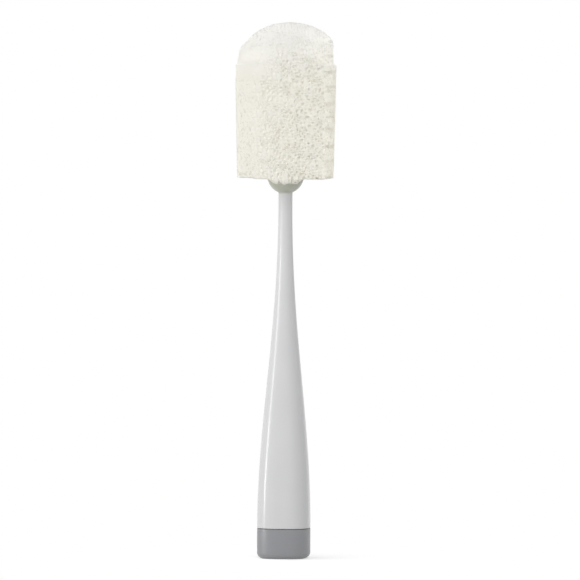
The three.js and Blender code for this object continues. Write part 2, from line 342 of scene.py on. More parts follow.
@dataclass(frozen=True)
class Finish:
    """A finish whose colour drifts between two shades.

    Attributes:
        name: The material's name.
        colour: Main linear colour.
        shade: The colour that it drifts towards.
        cast: Painted light or shade that it takes on towards its top, or none.
    """

    DRIFT_SCALE = 45.0

    name: str
    colour: Colour
    shade: Colour
    cast: Cast | None = field(default=None, kw_only=True)

    def material(self, effects: SurfaceEffects) -> bpy.types.Material:
        """Material of the finish, built when it is first asked for.

        Args:
            effects: The shared effects.

        Returns:
            The material.
        """
        if self.name not in bpy.data.materials:
            bench = NodeBench.blank(bpy.data.materials.new(self.name))
            place = bench.add("ShaderNodeTexCoord").outputs["Object"]
            shader = self.shader(bench, effects, place)
            bench.feed(shader.inputs["Base Color"], self.tone(bench, effects, place))
            bench.add("ShaderNodeOutputMaterial", {"Surface": shader.outputs["BSDF"]})
        return bpy.data.materials[self.name]

    def tone(
        self, bench: NodeBench, effects: SurfaceEffects, place: bpy.types.NodeSocket
    ) -> bpy.types.NodeSocket:
        """Colour that drifts between the shades, with the painted light or shade towards the top.

        Args:
            bench: The bench on the material's tree.
            effects: The shared effects.
            place: Object coordinates.

        Returns:
            The colour.
        """
        shades = {"Colour": (*self.colour, 1), "Shade": (*self.shade, 1), "Scale": self.DRIFT_SCALE}
        drift = bench.add("ShaderNodeGroup", {"Vector": place, **shades}, node_tree=effects.drift)
        # Painted light or shade by height, where the finish has one.
        if self.cast is None:
            return drift.outputs["Colour"]
        rise = {"Cast": (*self.cast.colour, 1), "Start": self.cast.start, "Full": self.cast.full}
        given = {"Vector": place, "Colour": drift.outputs["Colour"], **rise}
        return bench.add("ShaderNodeGroup", given, node_tree=effects.cast).outputs["Colour"]

    def shader(
        self, bench: NodeBench, effects: SurfaceEffects, place: bpy.types.NodeSocket
    ) -> bpy.types.Node:
        """Shader of the finish, which every kind of finish makes in its own way."""
        raise NotImplementedError


@dataclass(frozen=True)
class MouldedFinish(Finish):
    """A moulded or machined surface with a fine grain.

    Attributes:
        smoothest: Roughness of its most polished patches.
        roughest: Roughness of its dullest patches.
        grain_size: Width of one grain, in metres.
        grain_depth: Depth of the grain, in metres.
        metallic: 1 for bare metal.
        shine: Specular level.
        glow: Share of light that spreads under the surface.
    """

    PATCH_SCALE = 130.0
    BUMP_STRENGTH = 0.5
    GLOW_REACH = 0.8 * MM

    smoothest: float
    roughest: float
    grain_size: float
    grain_depth: float
    metallic: float = 0.0
    shine: float = 0.5
    glow: float = 0.0

    def shader(
        self, bench: NodeBench, effects: SurfaceEffects, place: bpy.types.NodeSocket
    ) -> bpy.types.Node:
        """Grained shader.

        Args:
            bench: The bench on the material's tree.
            effects: The shared effects.
            place: Object coordinates.

        Returns:
            The shader's node, without its colour.
        """
        scales = {"Grain scale": 1 / self.grain_size, "Patch scale": self.PATCH_SCALE}
        polish = {"Smoothest": self.smoothest, "Roughest": self.roughest}
        grain = bench.add("ShaderNodeGroup", {"Vector": place, **scales, **polish}, node_tree=effects.grain)
        size = {"Strength": self.BUMP_STRENGTH, "Distance": self.grain_depth}
        bump = bench.add("ShaderNodeBump", {**size, "Height": grain.outputs["Height"]})
        return bench.add(
            "ShaderNodeBsdfPrincipled",
            {
                "Roughness": grain.outputs["Roughness"],
                "Normal": bump.outputs["Normal"],
                "Metallic": self.metallic,
                "Specular IOR Level": self.shine,
                "Subsurface Weight": self.glow,
                "Subsurface Scale": self.GLOW_REACH,
            },
        )


@dataclass(frozen=True)
class FoamFinish(Finish):
    """Cream open-cell foam."""

    DRIFT_SCALE = 140.0
    ROUGHNESS = 0.85
    SHINE = 0.25

    def shader(
        self, bench: NodeBench, effects: SurfaceEffects, place: bpy.types.NodeSocket
    ) -> bpy.types.Node:
        """Matt shader, without its colour."""
        matt = {"Roughness": self.ROUGHNESS, "Specular IOR Level": self.SHINE}
        return bench.add("ShaderNodeBsdfPrincipled", matt)


# Painted shade on the bowl under the foam: the white plastic drawn darker and greenish from 182 mm up, for
# the foam's shadow and the light the foam bounces down.
BOWL_PAINTED_SHADE = Cast(srgb(192, 194, 179), 182 * MM, 183.2 * MM)
SATIN_WHITE = MouldedFinish(
    "satin_white_plastic", srgb(217, 217, 218), srgb(214, 214, 215), 0.2, 0.26, 0.25 * MM, 0.003 * MM,
    cast=BOWL_PAINTED_SHADE,
)
SOFT_GREY = MouldedFinish(
    "soft_grey_elastomer", srgb(129, 130, 134), srgb(126, 127, 131), 0.4, 0.46, 0.18 * MM, 0.003 * MM,
    shine=1.5,
)
MILKY_PLASTIC = MouldedFinish(
    "milky_core_plastic", srgb(224, 225, 222), srgb(216, 218, 214), 0.38, 0.5, 0.3 * MM, 0.008 * MM,
    glow=0.25,
)
DARK_RUBBER = MouldedFinish(
    "dark_seal_rubber", srgb(56, 58, 62), srgb(47, 49, 53), 0.45, 0.6, 0.15 * MM, 0.01 * MM, shine=0.4
)
TURNED_STEEL = MouldedFinish(
    "turned_steel", srgb(176, 178, 181), srgb(164, 166, 170), 0.25, 0.42, 0.2 * MM, 0.01 * MM, metallic=1.0
)
# Painted light on the dome: the foam drawn less yellow and a little darker from 238 mm to the apex, for how
# the light falls on its top.
DOME_PAINTED_LIGHT = Cast(srgb(238, 237, 233), 238 * MM, 266 * MM)
FOAM_STRUT = FoamFinish("foam_strut", srgb(243, 241, 232), srgb(242, 239, 228), cast=DOME_PAINTED_LIGHT)
FOAM_DEPTH = FoamFinish("foam_depth", srgb(242, 240, 231), srgb(241, 238, 227), cast=DOME_PAINTED_LIGHT)


@dataclass(frozen=True)
class Corner:
    """A corner of a turned piece's profile.

    Attributes:
        half: Half width there, in metres.
        z: Height, in metres.
        turn: Radius that rounds the corner, in metres.
        flat: Half distance between two flats, where the section has them.
    """

    half: float
    z: float
    turn: float = 0.0
    flat: float = math.inf


def rounded(corners: list[Corner], steps: int = 5) -> list[Corner]:
    """Round the corners of a profile with arcs.

    Args:
        corners: The profile, from end to end.
        steps: Facets on each arc.

    Returns:
        The profile with each turned corner drawn out.
    """
    straight, longest_share = math.pi - 1e-3, 0.49
    drawn = [corners[0]]
    for before, corner, after in zip(corners, corners[1:], corners[2:]):
        here = np.array((corner.half, corner.z))
        back = np.array((before.half, before.z)) - here
        ahead = np.array((after.half, after.z)) - here
        reach_back, reach_ahead = np.linalg.norm(back), np.linalg.norm(ahead)
        if corner.turn <= 0 or min(reach_back, reach_ahead) < TINY:
            drawn.append(corner)
            continue
        back, ahead = back / reach_back, ahead / reach_ahead
        angle = math.acos(np.clip(back @ ahead, -1.0, 1.0))
        if angle > straight:
            drawn.append(corner)
            continue
        run = min(corner.turn / math.tan(angle / 2), longest_share * min(reach_back, reach_ahead))
        turn = run * math.tan(angle / 2)
        bisector = (back + ahead) / np.linalg.norm(back + ahead)
        centre = here + bisector * turn / math.sin(angle / 2)
        first, last = here + back * run - centre, here + ahead * run - centre
        sweep = math.pi - angle
        for share in np.arange(steps + 1) / steps:
            arm = first * math.sin((1 - share) * sweep) + last * math.sin(share * sweep)
            point = centre + arm / math.sin(sweep)
            drawn.append(Corner(point[0], point[1], flat=corner.flat))
    drawn.append(corners[-1])
    return drawn


def even_angles(sides: int) -> np.ndarray:
    """Even angles once round the axis."""
    return np.arange(sides) * (2 * math.pi / sides)


def section(half: float, power: float, flat: float, sides: int) -> np.ndarray:
    """Radii of a superellipse at even angles, cut by two flats.

    Args:
        half: Half width.
        power: 2 for a round section, more for a squarer one.
        flat: Half distance between the flats.
        sides: Number of angles.

    Returns:
        One radius for each angle.
    """
    angles = even_angles(sides)
    across, along = np.abs(np.cos(angles)), np.abs(np.sin(angles))
    free = half / (across**power + along**power) ** (1 / power)
    return np.minimum(free, flat / np.maximum(across, TINY))


def ring_points(heights: np.ndarray, radii: np.ndarray) -> np.ndarray:
    """Points of rings about the Z axis.

    Args:
        heights: Height of each ring, or of each of its points.
        radii: Radii of each ring's points, with a row for each ring.

    Returns:
        The points, by ring and by side.
    """
    rows, sides = radii.shape
    angles = even_angles(sides)
    levels = np.broadcast_to(np.asarray(heights).reshape(rows, -1), radii.shape)
    return np.stack((radii * np.cos(angles), radii * np.sin(angles), levels), axis=-1)


def ring_mesh(name: str, points: np.ndarray, looped: bool = False, crisp: bool = True) -> bpy.types.Object:
    """Build a closed mesh through rings of points.

    Args:
        name: The piece's name.
        points: The points, by ring and by side.
        looped: True if the last ring joins the first.
        crisp: True if sharp bends stay sharp edges, False if the mesh is unrolled on a flat map.

    Returns:
        The piece, smooth.
    """
    rows, sides, _ = points.shape
    here = np.arange(rows if looped else rows - 1)[:, None] * sides
    there = (here + sides) % (rows * sides)
    turn = np.arange(sides)[None, :]
    ahead = (turn + 1) % sides
    quads = np.stack((here + turn, here + ahead, there + ahead, there + turn), axis=-1).reshape(-1, 4)
    mesh = bpy.data.meshes.new(name)
    mesh.from_pydata(points.reshape(-1, 3).tolist(), [], quads.tolist())
    if not crisp:
        map_rings(mesh, len(here), sides)
    shape = bmesh.new()
    shape.from_mesh(mesh)
    bmesh.ops.remove_doubles(shape, verts=shape.verts, dist=WELD_DISTANCE)
    bmesh.ops.dissolve_degenerate(shape, edges=shape.edges, dist=WELD_DISTANCE)
    shape.to_mesh(mesh)
    shape.free()
    mesh.shade_smooth()
    if crisp:
        mesh.set_sharp_from_angle(angle=SHARP_BEND)
    return link(name, mesh)


def map_rings(mesh: bpy.types.Mesh, rows: int, sides: int) -> None:
    """Unroll a mesh of rings on its flat map.

    Args:
        mesh: The mesh, with its quads in order.
        rows: Rows of quads.
        sides: Quads in a row.
    """
    row, side = np.divmod(np.arange(rows * sides), sides)
    across = (side[:, None] + (0, 1, 1, 0)) / sides
    up = (row[:, None] + (0, 0, 1, 1)) / rows
    flat = mesh.uv_layers.new(name=MAP_NAME)
    flat.data.foreach_set("uv", np.stack((across, up), axis=-1).astype(np.float32).ravel())


def turned(name: str, path: list[Corner], power: Callable[[float], float], sides: int) -> bpy.types.Object:
    """Build a closed piece round its drawn-out profile, with the superellipse power of each height."""
    radii = np.array([section(corner.half, power(corner.z), corner.flat, sides) for corner in path])
    return ring_mesh(name, ring_points(np.array([corner.z for corner in path]), radii))


def link(name: str, mesh: bpy.types.Mesh) -> bpy.types.Object:
    """Put a mesh into the scene as an object at the origin.

    Args:
        name: The object's name.
        mesh: Its mesh.

    Returns:
        The object.
    """
    piece = bpy.data.objects.new(name, mesh)
    bpy.context.scene.collection.objects.link(piece)
    return piece


def settle(
    piece: bpy.types.Object, body: Body, slot: Slot, material: bpy.types.Material, *nodes: str
) -> None:
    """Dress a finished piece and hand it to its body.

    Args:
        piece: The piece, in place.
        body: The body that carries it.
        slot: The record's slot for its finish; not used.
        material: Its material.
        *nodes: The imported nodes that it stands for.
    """
    piece.data.materials.clear()
    piece.data.materials.append(material)
    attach(piece, body.value)
    if nodes:
        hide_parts(*nodes)
    LOG.info("%s: %d faces on %s", piece.name, len(piece.data.polygons), body.value)


@dataclass
class Handle:
    """White handle: a tapered shell that grows from a rounded square to a round neck and a bowl.

    Attributes:
        foot_half: Half the width across the flats at the seam.
        seam: Height of its lower edge.
        rim: Height of the bowl's rim.
        gap: Width of the seam between the boot and the shell.
        foot_power: Superellipse power of the foot's section.
        round_rise: Rise at which the section has become round.
        taper_rise: Rise of the tapering flank.
        foot_pull: Length over which the flank leaves the foot's width.
        neck_pull: Length over which it eases into the neck.
        neck: Radius of the neck.
        bowl: Radius of the bowl.
        bowl_fillet: Radius between the neck and the bowl.
        wall: Thickness of the shell.
        hollow_rise: Depth of the hollow.
        snap: Lower and upper height of the snap groove above the seam, and its depth.
        socket: Radius and depth of the bowl's socket.
        bore: Radius, half flat and depth of the keyed bore below the socket.
        edge: Radius of the small rounded edges.
        sides: Points round a section.
        flank_steps: Rings up the flank.
        hollow_steps: Rings up the hollow.
        bowl_steps: Rings up the bowl.
    """

    FINE_STEPS = 2001

    foot_half: float
    seam: float
    rim: float
    gap: float = 0.3 * MM
    foot_power: float = 3.0
    round_rise: float = 135 * MM
    taper_rise: float = 161 * MM
    foot_pull: float = 56 * MM
    neck_pull: float = 63.5 * MM
    neck: float = 3.5 * MM
    bowl: float = 9.2 * MM
    bowl_fillet: float = 2 * MM
    wall: float = 2.2 * MM
    hollow_rise: float = 110 * MM
    snap: Trio = (13.7 * MM, 16.3 * MM, 0.7 * MM)
    socket: Pair = (6.18 * MM, 5 * MM)
    bore: Trio = (2.1 * MM, 1.65 * MM, 13.5 * MM)
    edge: float = 0.12 * MM
    sides: int = 96
    flank_steps: int = 110
    hollow_steps: int = 24
    bowl_steps: int = 26

    def flank(self, share: np.ndarray) -> tuple[np.ndarray, np.ndarray]:
        """Half widths and heights along the flank, as a cubic curve.

        Args:
            share: Places along the curve, 0 at the boot and 1 at the neck.

        Returns:
            Half widths and heights.
        """
        base = self.seam - self.gap
        top = base + self.taper_rise
        weights = ((1 - share) ** 3, 3 * share * (1 - share) ** 2, 3 * share**2 * (1 - share), share**3)
        halves = (self.foot_half, self.foot_half, self.neck, self.neck)
        levels = (base, base + self.foot_pull, top - self.neck_pull, top)
        half = sum(w * h for w, h in zip(weights, halves))
        return half, sum(w * z for w, z in zip(weights, levels))

    def half_at(self, z: float) -> float:
        """Half width of the handle at a height."""
        half, level = self.flank(np.linspace(0, 1, self.FINE_STEPS))
        return float(np.interp(z, level, half))

    def inner_at(self, z: float) -> float:
        """Half width of the hollow at a height."""
        return self.half_at(z) - self.wall

    def power_at(self, z: float) -> float:
        """Superellipse power of the section at a height."""
        roundness = smoothstep(0, self.round_rise, z - (self.seam - self.gap))
        return float(self.foot_power + (ROUND_POWER - self.foot_power) * roundness)

    def profile(self) -> list[Corner]:
        """Profile from the top of the hollow, round the seam, up the flank and down into the bowl.

        Returns:
            The corners.
        """
        hollow_top = self.seam + self.hollow_rise
        low, high, deep = self.seam + self.snap[0], self.seam + self.snap[1], self.snap[2]
        half, level = self.flank(np.linspace(0, 1, self.flank_steps))
        kept = level > self.seam + 3 * self.edge
        bowl_start = math.asin(self.neck / self.bowl)
        # The bowl's first steps leave room for its fillet, and the last one is the rim.
        bowl = np.linspace(bowl_start, math.pi / 2, self.bowl_steps)[2:-1]
        floor = self.rim - self.socket[1]
        bore, flat, depth = self.bore
        return [
            Corner(0, hollow_top),
            *(Corner(self.inner_at(z), z) for z in np.linspace(hollow_top, high, self.hollow_steps)),
            Corner(self.inner_at(high) + deep, high),
            Corner(self.inner_at(low) + deep, low),
            Corner(self.inner_at(low), low),
            Corner(self.inner_at(self.seam), self.seam, self.edge),
            Corner(self.half_at(self.seam), self.seam, self.edge),
            *(Corner(h, z) for h, z in zip(half[kept], level[kept])),
            Corner(self.neck, self.rim - self.bowl * math.cos(bowl_start), self.bowl_fillet),
            *(Corner(self.bowl * math.sin(a), self.rim - self.bowl * math.cos(a)) for a in bowl),
            Corner(self.bowl, self.rim, self.edge),
            Corner(self.socket[0], self.rim, self.edge),
            Corner(self.socket[0], floor),
            Corner(bore, floor, flat=flat),
            Corner(bore, floor - depth, flat=flat),
            Corner(0, floor - depth),
        ]

    def build(self, effects: SurfaceEffects) -> None:
        """Build the shell and dress it."""
        piece = turned("handle", rounded(self.profile()), self.power_at, self.sides)
        settle(piece, Body.HANDLE, Slot.HANDLE, SATIN_WHITE.material(effects), "handle_shell")


@dataclass
class Foot:
    """Soft grey boot, with the plug, ballast and seal that it hides.

    Attributes:
        half: Half the width across the flats.
        height: Height of the boot.
        power: Superellipse power of its section.
        fillet: Radius of its lower edge.
        edge: Radius of its upper edge.
        floor: Thickness of its floor.
        inner: Half width of its inside.
        groove: Half width, lower and upper height of the groove for the plug's flange.
        lip: Half width inside its lip.
        sides: Points round a section.
        arc_steps: Facets on a rounded edge.
    """

    HIDDEN = {
        "foot_plug": (MILKY_PLASTIC, Slot.INNER),
        "ballast": (TURNED_STEEL, Slot.STEEL),
        "plug_seal": (DARK_RUBBER, Slot.SEAL),
    }

    half: float
    height: float
    power: float = 3.0
    fillet: float = 3 * MM
    edge: float = 0.15 * MM
    floor: float = 2.8 * MM
    inner: float = 10.7 * MM
    groove: Trio = (11.9 * MM, 11.9 * MM, 14.1 * MM)
    lip: float = 10.9 * MM
    sides: int = 96
    arc_steps: int = 9

    def profile(self) -> list[Corner]:
        """Profile from the underside, up the outside and down the inside to the floor.

        Returns:
            The corners.
        """
        groove, low, high = self.groove
        return [
            Corner(0, 0),
            Corner(self.half, 0, self.fillet),
            Corner(self.half, self.height, self.edge),
            Corner(self.lip, self.height, self.edge / 2),
            Corner(self.lip, high),
            Corner(groove, high),
            Corner(groove, low),
            Corner(self.inner, low),
            Corner(self.inner, self.floor, self.edge),
            Corner(0, self.floor),
        ]

    def build(self, effects: SurfaceEffects) -> None:
        """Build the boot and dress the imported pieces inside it.

        Args:
            effects: The shared effects.
        """
        path = rounded(self.profile(), self.arc_steps)
        piece = turned("boot", path, lambda z: self.power, self.sides)
        settle(piece, Body.HANDLE, Slot.BOOT, SOFT_GREY.material(effects), "foot_boot")
        for node, (finish, slot) in self.HIDDEN.items():
            settle(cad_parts[node], Body.HANDLE, slot, finish.material(effects))


@dataclass
class HeadCore:
    """Barbed core of the head: keyed pin, round plug with an O-ring, collar and stem.

    Attributes:
        base: Height of the pin's lower end.
        tip: Height of the stem's end.
        rim: Height of the bowl's rim.
        gap: Running clearance above the rim.
        pin: Radius and half flat of the keyed pin.
        plug: Radius and height of the round plug.
        collar: Radius and height of the collar.
        ring: Ring radius and section radius of the O-ring.
        ring_groove: Radius at the bottom of the O-ring's groove, and half its height.
        stem: Radius of the stem.
        barb: Radius, upright edge and height of a barb.
        barb_pitch: Distance from barb to barb.
        barb_count: Number of barbs.
        edge: Radius of its rounded edges.
        sides: Points round a section.
        ring_sides: Points round the O-ring's own section.
    """

    base: float
    tip: float
    rim: float
    gap: float = 0.3 * MM
    pin: Pair = (1.8 * MM, 1.35 * MM)
    plug: Pair = (5.88 * MM, 5 * MM)
    collar: Pair = (8.9 * MM, 1.5 * MM)
    ring: Pair = (5.405 * MM, 0.575 * MM)
    ring_groove: Pair = (4.68 * MM, 0.725 * MM)
    stem: float = 2.6 * MM
    barb: Trio = (6 * MM, 0.8 * MM, 6 * MM)
    barb_pitch: float = 11 * MM
    barb_count: int = 4
    edge: float = 0.3 * MM
    sides: int = 64
    ring_sides: int = 24

    @property
    def collar_top(self) -> float:
        """Height of the collar's upper face."""
        return self.rim + self.gap + self.collar[1]

    @property
    def ring_level(self) -> float:
        """Height of the O-ring's middle."""
        return self.rim + (self.gap - self.plug[1]) / 2

    def profile(self) -> list[Corner]:
        """Profile from the pin's lower end to the stem's tip.

        Returns:
            The corners.
        """
        radius, flat = self.pin
        seat = self.rim + self.gap
        plug_low = seat - self.plug[1]
        groove, half = self.ring_groove
        first = self.tip - self.barb[2] - (self.barb_count - 1) * self.barb_pitch
        path = [
            Corner(0, self.base),
            Corner(radius - self.edge, self.base, flat=flat - self.edge),
            Corner(radius, self.base + self.edge, flat=flat),
            Corner(radius, plug_low, flat=flat),
            Corner(self.plug[0], plug_low, self.edge),
            Corner(self.plug[0], self.ring_level - half),
            Corner(groove, self.ring_level - half, self.edge),
            Corner(groove, self.ring_level + half, self.edge),
            Corner(self.plug[0], self.ring_level + half),
            Corner(self.plug[0], seat),
            Corner(self.collar[0], seat, self.edge),
            Corner(self.collar[0], self.collar_top, self.edge),
            Corner(self.stem, self.collar_top, self.edge),
        ]
        for i in range(self.barb_count):
            low = first + i * self.barb_pitch
            path += [
                Corner(self.stem, low, self.edge),
                Corner(self.barb[0], low, self.edge),
                Corner(self.barb[0], low + self.barb[1], self.edge),
                Corner(self.stem, low + self.barb[2], self.edge),
            ]
        return [*path, Corner(0, self.tip)]

    def build(self, effects: SurfaceEffects) -> None:
        """Build the core and its O-ring and dress them.

        Args:
            effects: The shared effects.
        """
        core = turned("core", rounded(self.profile()), lambda z: ROUND_POWER, self.sides)
        settle(core, Body.HEAD, Slot.INNER, MILKY_PLASTIC.material(effects), "sponge_core")
        turn = np.linspace(-math.pi / 2, 1.5 * math.pi, self.ring_sides, endpoint=False)
        major, minor = self.ring
        radii = np.repeat((major + minor * np.cos(turn))[:, None], self.sides, axis=1)
        oring = ring_mesh("oring", ring_points(self.ring_level + minor * np.sin(turn), radii), looped=True)
        settle(oring, Body.HEAD, Slot.SEAL, DARK_RUBBER.material(effects), "core_oring")


class StrutTree:
    """Geometry Nodes tree that turns a graph of edges into a web of foam struts.

    Attributes:
        tree: The node tree, with named inputs.
    """

    INPUTS = {
        "Geometry": Socket.GEOMETRY,
        "Strut radius": Socket.VALUE,
        "Thinnest": Socket.VALUE,
        "Thickest": Socket.VALUE,
        "Strut sides": Socket.COUNT,
        "Seed": Socket.COUNT,
        "Map corner": Socket.VECTOR,
        "Map across": Socket.VECTOR,
        "Map up": Socket.VECTOR,
        "Material": Socket.MATERIAL,
    }

    def __init__(self) -> None:
        """Build the tree."""
        made = {"Geometry": Socket.GEOMETRY}
        bench = NodeBench.group("foam_struts", "GeometryNodeTree", self.INPUTS, made)
        self.tree = bench.tree
        given = bench.add("NodeGroupInput").outputs
        lines = bench.add("GeometryNodeMeshToCurve", {"Mesh": given["Geometry"]})
        thickness = bench.add(
            "FunctionNodeRandomValue",
            {"Min_001": given["Thinnest"], "Max_001": given["Thickest"], "Seed": given["Seed"]},
            data_type="FLOAT",
        )
        outline = bench.add(
            "GeometryNodeCurvePrimitiveCircle",
            {"Resolution": given["Strut sides"], "Radius": given["Strut radius"]},
        )
        web = bench.add(
            "GeometryNodeCurveToMesh",
            {
                "Curve": lines.outputs["Curve"],
                "Profile Curve": outline.outputs["Curve"],
                "Scale": next(s for s in thickness.outputs if s.identifier == "Value_001"),
                "Fill Caps": True,
            },
        )
        smooth = bench.add("GeometryNodeSetShadeSmooth", {"Geometry": web.outputs["Mesh"]})
        mapped = bench.add(
            "GeometryNodeStoreNamedAttribute",
            {
                "Geometry": smooth.outputs["Geometry"],
                "Name": MAP_NAME,
                "Value": self._flat_place(bench, given),
            },
            data_type="FLOAT2",
            domain="CORNER",
        )
        whole = bench.add("GeometryNodeRealizeInstances", {"Geometry": mapped.outputs["Geometry"]})
        dressed = bench.add(
            "GeometryNodeSetMaterial",
            {"Geometry": whole.outputs["Geometry"], "Material": given["Material"]},
        )
        bench.add("NodeGroupOutput", {"Geometry": dressed.outputs["Geometry"]})

    @staticmethod
    def _flat_place(bench: NodeBench, given: bpy.types.bpy_prop_collection) -> bpy.types.NodeSocket:
        """Place of a point on the flat map of its face.

        Args:
            bench: The bench on the tree.
            given: The tree's inputs.

        Returns:
            The place, as a vector.
        """
        place = bench.add("GeometryNodeInputPosition").outputs["Position"]
        away = {0: place, 1: given["Map corner"]}
        local = bench.add("ShaderNodeVectorMath", away, operation="SUBTRACT").outputs["Vector"]
        flat = {}
        for axis, way in (("X", "Map across"), ("Y", "Map up")):
            along = bench.add("ShaderNodeVectorMath", {0: local, 1: given[way]}, operation="DOT_PRODUCT")
            flat[axis] = along.outputs["Value"]
        return bench.add("ShaderNodeCombineXYZ", flat).outputs["Vector"]

    def run(self, piece: bpy.types.Object, inputs: dict[str, object]) -> None:
        """Turn a piece's edges into struts and keep the result as its plain mesh.

        Args:
            piece: An object whose mesh is a graph of edges.
            inputs: Values for the tree's named inputs.
        """
        modifier = piece.modifiers.new("struts", "NODES")
        modifier.node_group = self.tree
        for item in self.tree.interface.items_tree:
            if item.item_type == "SOCKET" and item.in_out == "INPUT" and item.name in inputs:
                modifier[item.identifier] = inputs[item.name]
        depsgraph = bpy.context.evaluated_depsgraph_get()
        mesh = bpy.data.meshes.new_from_object(piece.evaluated_get(depsgraph))
        piece.modifiers.remove(modifier)
        piece.data = mesh


@dataclass
class FoamShape:
    """Shape of the foam: a swelling block with a dome, a sagging underside and a recess for the bowl.

    Attributes:
        lowest: Height of the lip's hem.
        apex: Height of the dome's top.
        rim: Height of the bowl's rim.
        collar_top: Height of the core's collar.
        sink: How far the underside lies below the rim.
        foot_half: Half width at the underside.
        half: Half width at the ledge.
        edge: Radius of the rounded edges.
        under_edge: Radius of the underside's edges.
        worn_edge: Radius of the top edge at the front left corner.
        worn_span: Where that radius sets in and is full, as shares of the way to that corner.
        crown: How far the front and back swell halfway up, and how far the other two sides do.
        ledge_rise: Underside to ledge.
        dome: Radius of the dome.
        shoulder: Upright wall between ledge and dome.
        dome_lean: How far the cut dome lies to the right.
        lean_span: Heights between which it comes to lie there.
        fillet: Width of the rounding between ledge and dome at the right back corner, and at the others.
        fillet_span: Where that rounding begins and ends to narrow, as shares of the way to that corner.
        hitch: How far the underside's left end lies higher, and the rise over which that fades.
        hitch_span: Where it sets in and is full, as shares of the half width.
        sag_reach: Half width and half length of the underside's sag, which reaches the front and the back.
        sag_turn: Degrees that the sag is turned round the axis.
        sag_shares: Shares of the hem's drop all round, more at the front and back, and in ragged waves.
        sag_fade: Where the sag begins to fade and is gone, as shares of its reach.
        ragged: Size, count round the axis and start of each wave of the hem.
        bowl: Radius of the bowl that the foam closes round.
        gap: Clearance to the bowl and the core.
    """

    HALVINGS = 30

    lowest: float
    apex: float
    rim: float
    collar_top: float
    sink: float = 1.6 * MM
    foot_half: float = 21.85 * MM
    half: float = 23 * MM
    edge: float = 1.2 * MM
    under_edge: float = 0.2 * MM
    worn_edge: float = 8 * MM
    worn_span: Pair = (0.5, 0.8)
    crown: Pair = (2.4 * MM, 0.4 * MM)
    ledge_rise: float = 57 * MM
    dome: float = 23.85 * MM
    shoulder: float = 4.3 * MM
    dome_lean: float = 2 * MM
    lean_span: Pair = (253 * MM, 260 * MM)
    fillet: Pair = (1.6 * MM, 7 * MM)
    fillet_span: Pair = (0.3, 0.7)
    hitch: Pair = (0.6 * MM, 15 * MM)
    hitch_span: Pair = (0.5, 0.68)
    sag_reach: Pair = (9.8 * MM, 60 * MM)
    sag_turn: float = 6.3
    sag_shares: Trio = (0.12, 1.05, 0.25)
    sag_fade: Pair = (0.6, 1.0)
    ragged: tuple[Trio, ...] = ((0.3, 19, 0), (0.4, 31, 0.6), (0.4, 47, 2.1))
    bowl: float = 9.2 * MM
    gap: float = 0.3 * MM

    @property
    def underside(self) -> float:
        """Height of the flat underside."""
        return self.rim - self.sink

    @property
    def ledge(self) -> float:
        """Height of the ledges at the corners."""
        return self.underside + self.ledge_rise

    @property
    def middle(self) -> np.ndarray:
        """Middle of the foam."""
        return np.array((0, 0, (self.lowest + self.apex) / 2))

    @property
    def reach(self) -> float:
        """How far the foam reaches from its middle."""
        return np.linalg.norm((self.half, self.half, (self.apex - self.lowest) / 2))

    def side_distance(self, x: np.ndarray, y: np.ndarray, z: np.ndarray) -> np.ndarray:
        """Distance outside the block's four swelling sides.

        Args:
            x: Places along X.
            y: Places along Y.
            z: Heights.

        Returns:
            Distances, negative inside.
        """
        share = (z - self.underside) / self.ledge_rise
        half = self.foot_half + (self.half - self.foot_half) * share
        belly = np.clip(1 - (2 * share - 1) ** 2, 0, 1)
        front, flank = (self.dome - self.half + crown * belly for crown in self.crown)
        reach_x = half + flank * np.clip(1 - (y / half) ** 2, 0, 1) - self.edge
        reach_y = half + front * np.clip(1 - (x / half) ** 2, 0, 1) - self.edge
        past_x, past_y = np.abs(x) - reach_x, np.abs(y) - reach_y
        outside = np.hypot(np.maximum(past_x, 0), np.maximum(past_y, 0))
        return outside + np.minimum(np.maximum(past_x, past_y), 0) - self.edge

    def top_distance(self, x: np.ndarray, y: np.ndarray, z: np.ndarray) -> np.ndarray:
        """Distance outside the ledge and the dome that rises from it.

        Args:
            x: Places along X.
            y: Places along Y.
            z: Heights.

        Returns:
            Distances, negative inside.
        """
        radius, spring = np.hypot(x, y), self.ledge + self.shoulder
        rise = self.apex - spring
        up = np.maximum(z - spring, 0)
        reach = np.hypot(radius / self.dome, up / rise)
        slope = np.hypot(radius / self.dome**2, up / rise**2)
        dome, flat = reach * (reach - 1) / np.maximum(slope, TINY), z - self.ledge
        crisp, soft = self.fillet
        fillet = soft + (crisp - soft) * smoothstep(*self.fillet_span, (x + y) / (2 * self.half))
        share = np.clip(0.5 + 0.5 * (dome - flat) / fillet, 0, 1)
        return dome + (flat - dome) * share - fillet * share * (1 - share)

    def lean(self, z: np.ndarray) -> np.ndarray:
        """How far the dome lies to the right at given heights."""
        return self.dome_lean * smoothstep(*self.lean_span, z)

    def lift(self, x: np.ndarray, z: np.ndarray) -> np.ndarray:
        """How far the foam's lower left end is drawn up.

        Args:
            x: Places along X.
            z: Heights.

        Returns:
            Rises.
        """
        rise, reach = self.hitch
        fading = smoothstep(self.underside, self.underside + reach, z)
        return rise * smoothstep(*self.hitch_span, -x / self.half) * (1 - fading)

    def floor_level(self, radius: np.ndarray, angle: np.ndarray) -> np.ndarray:
        """Height of the underside, which sags in a ragged lip from the bowl to the front and the back.

        Args:
            radius: Distances from the axis.
            angle: Angles round the axis.

        Returns:
            Heights.
        """
        angle = angle - math.radians(self.sag_turn)
        ragged = sum(size * np.sin(count * angle + start) for size, count, start in self.ragged)
        round_share, front_share, ragged_share = self.sag_shares
        share = round_share + front_share * np.sin(angle) ** 2 + ragged_share * ragged
        drop = (self.underside - self.lowest) * share
        across, along = radius * np.cos(angle), radius * np.sin(angle)
        reach = np.hypot(across / self.sag_reach[0], along / self.sag_reach[1])
        return self.underside - drop * (1 - smoothstep(*self.sag_fade, reach))

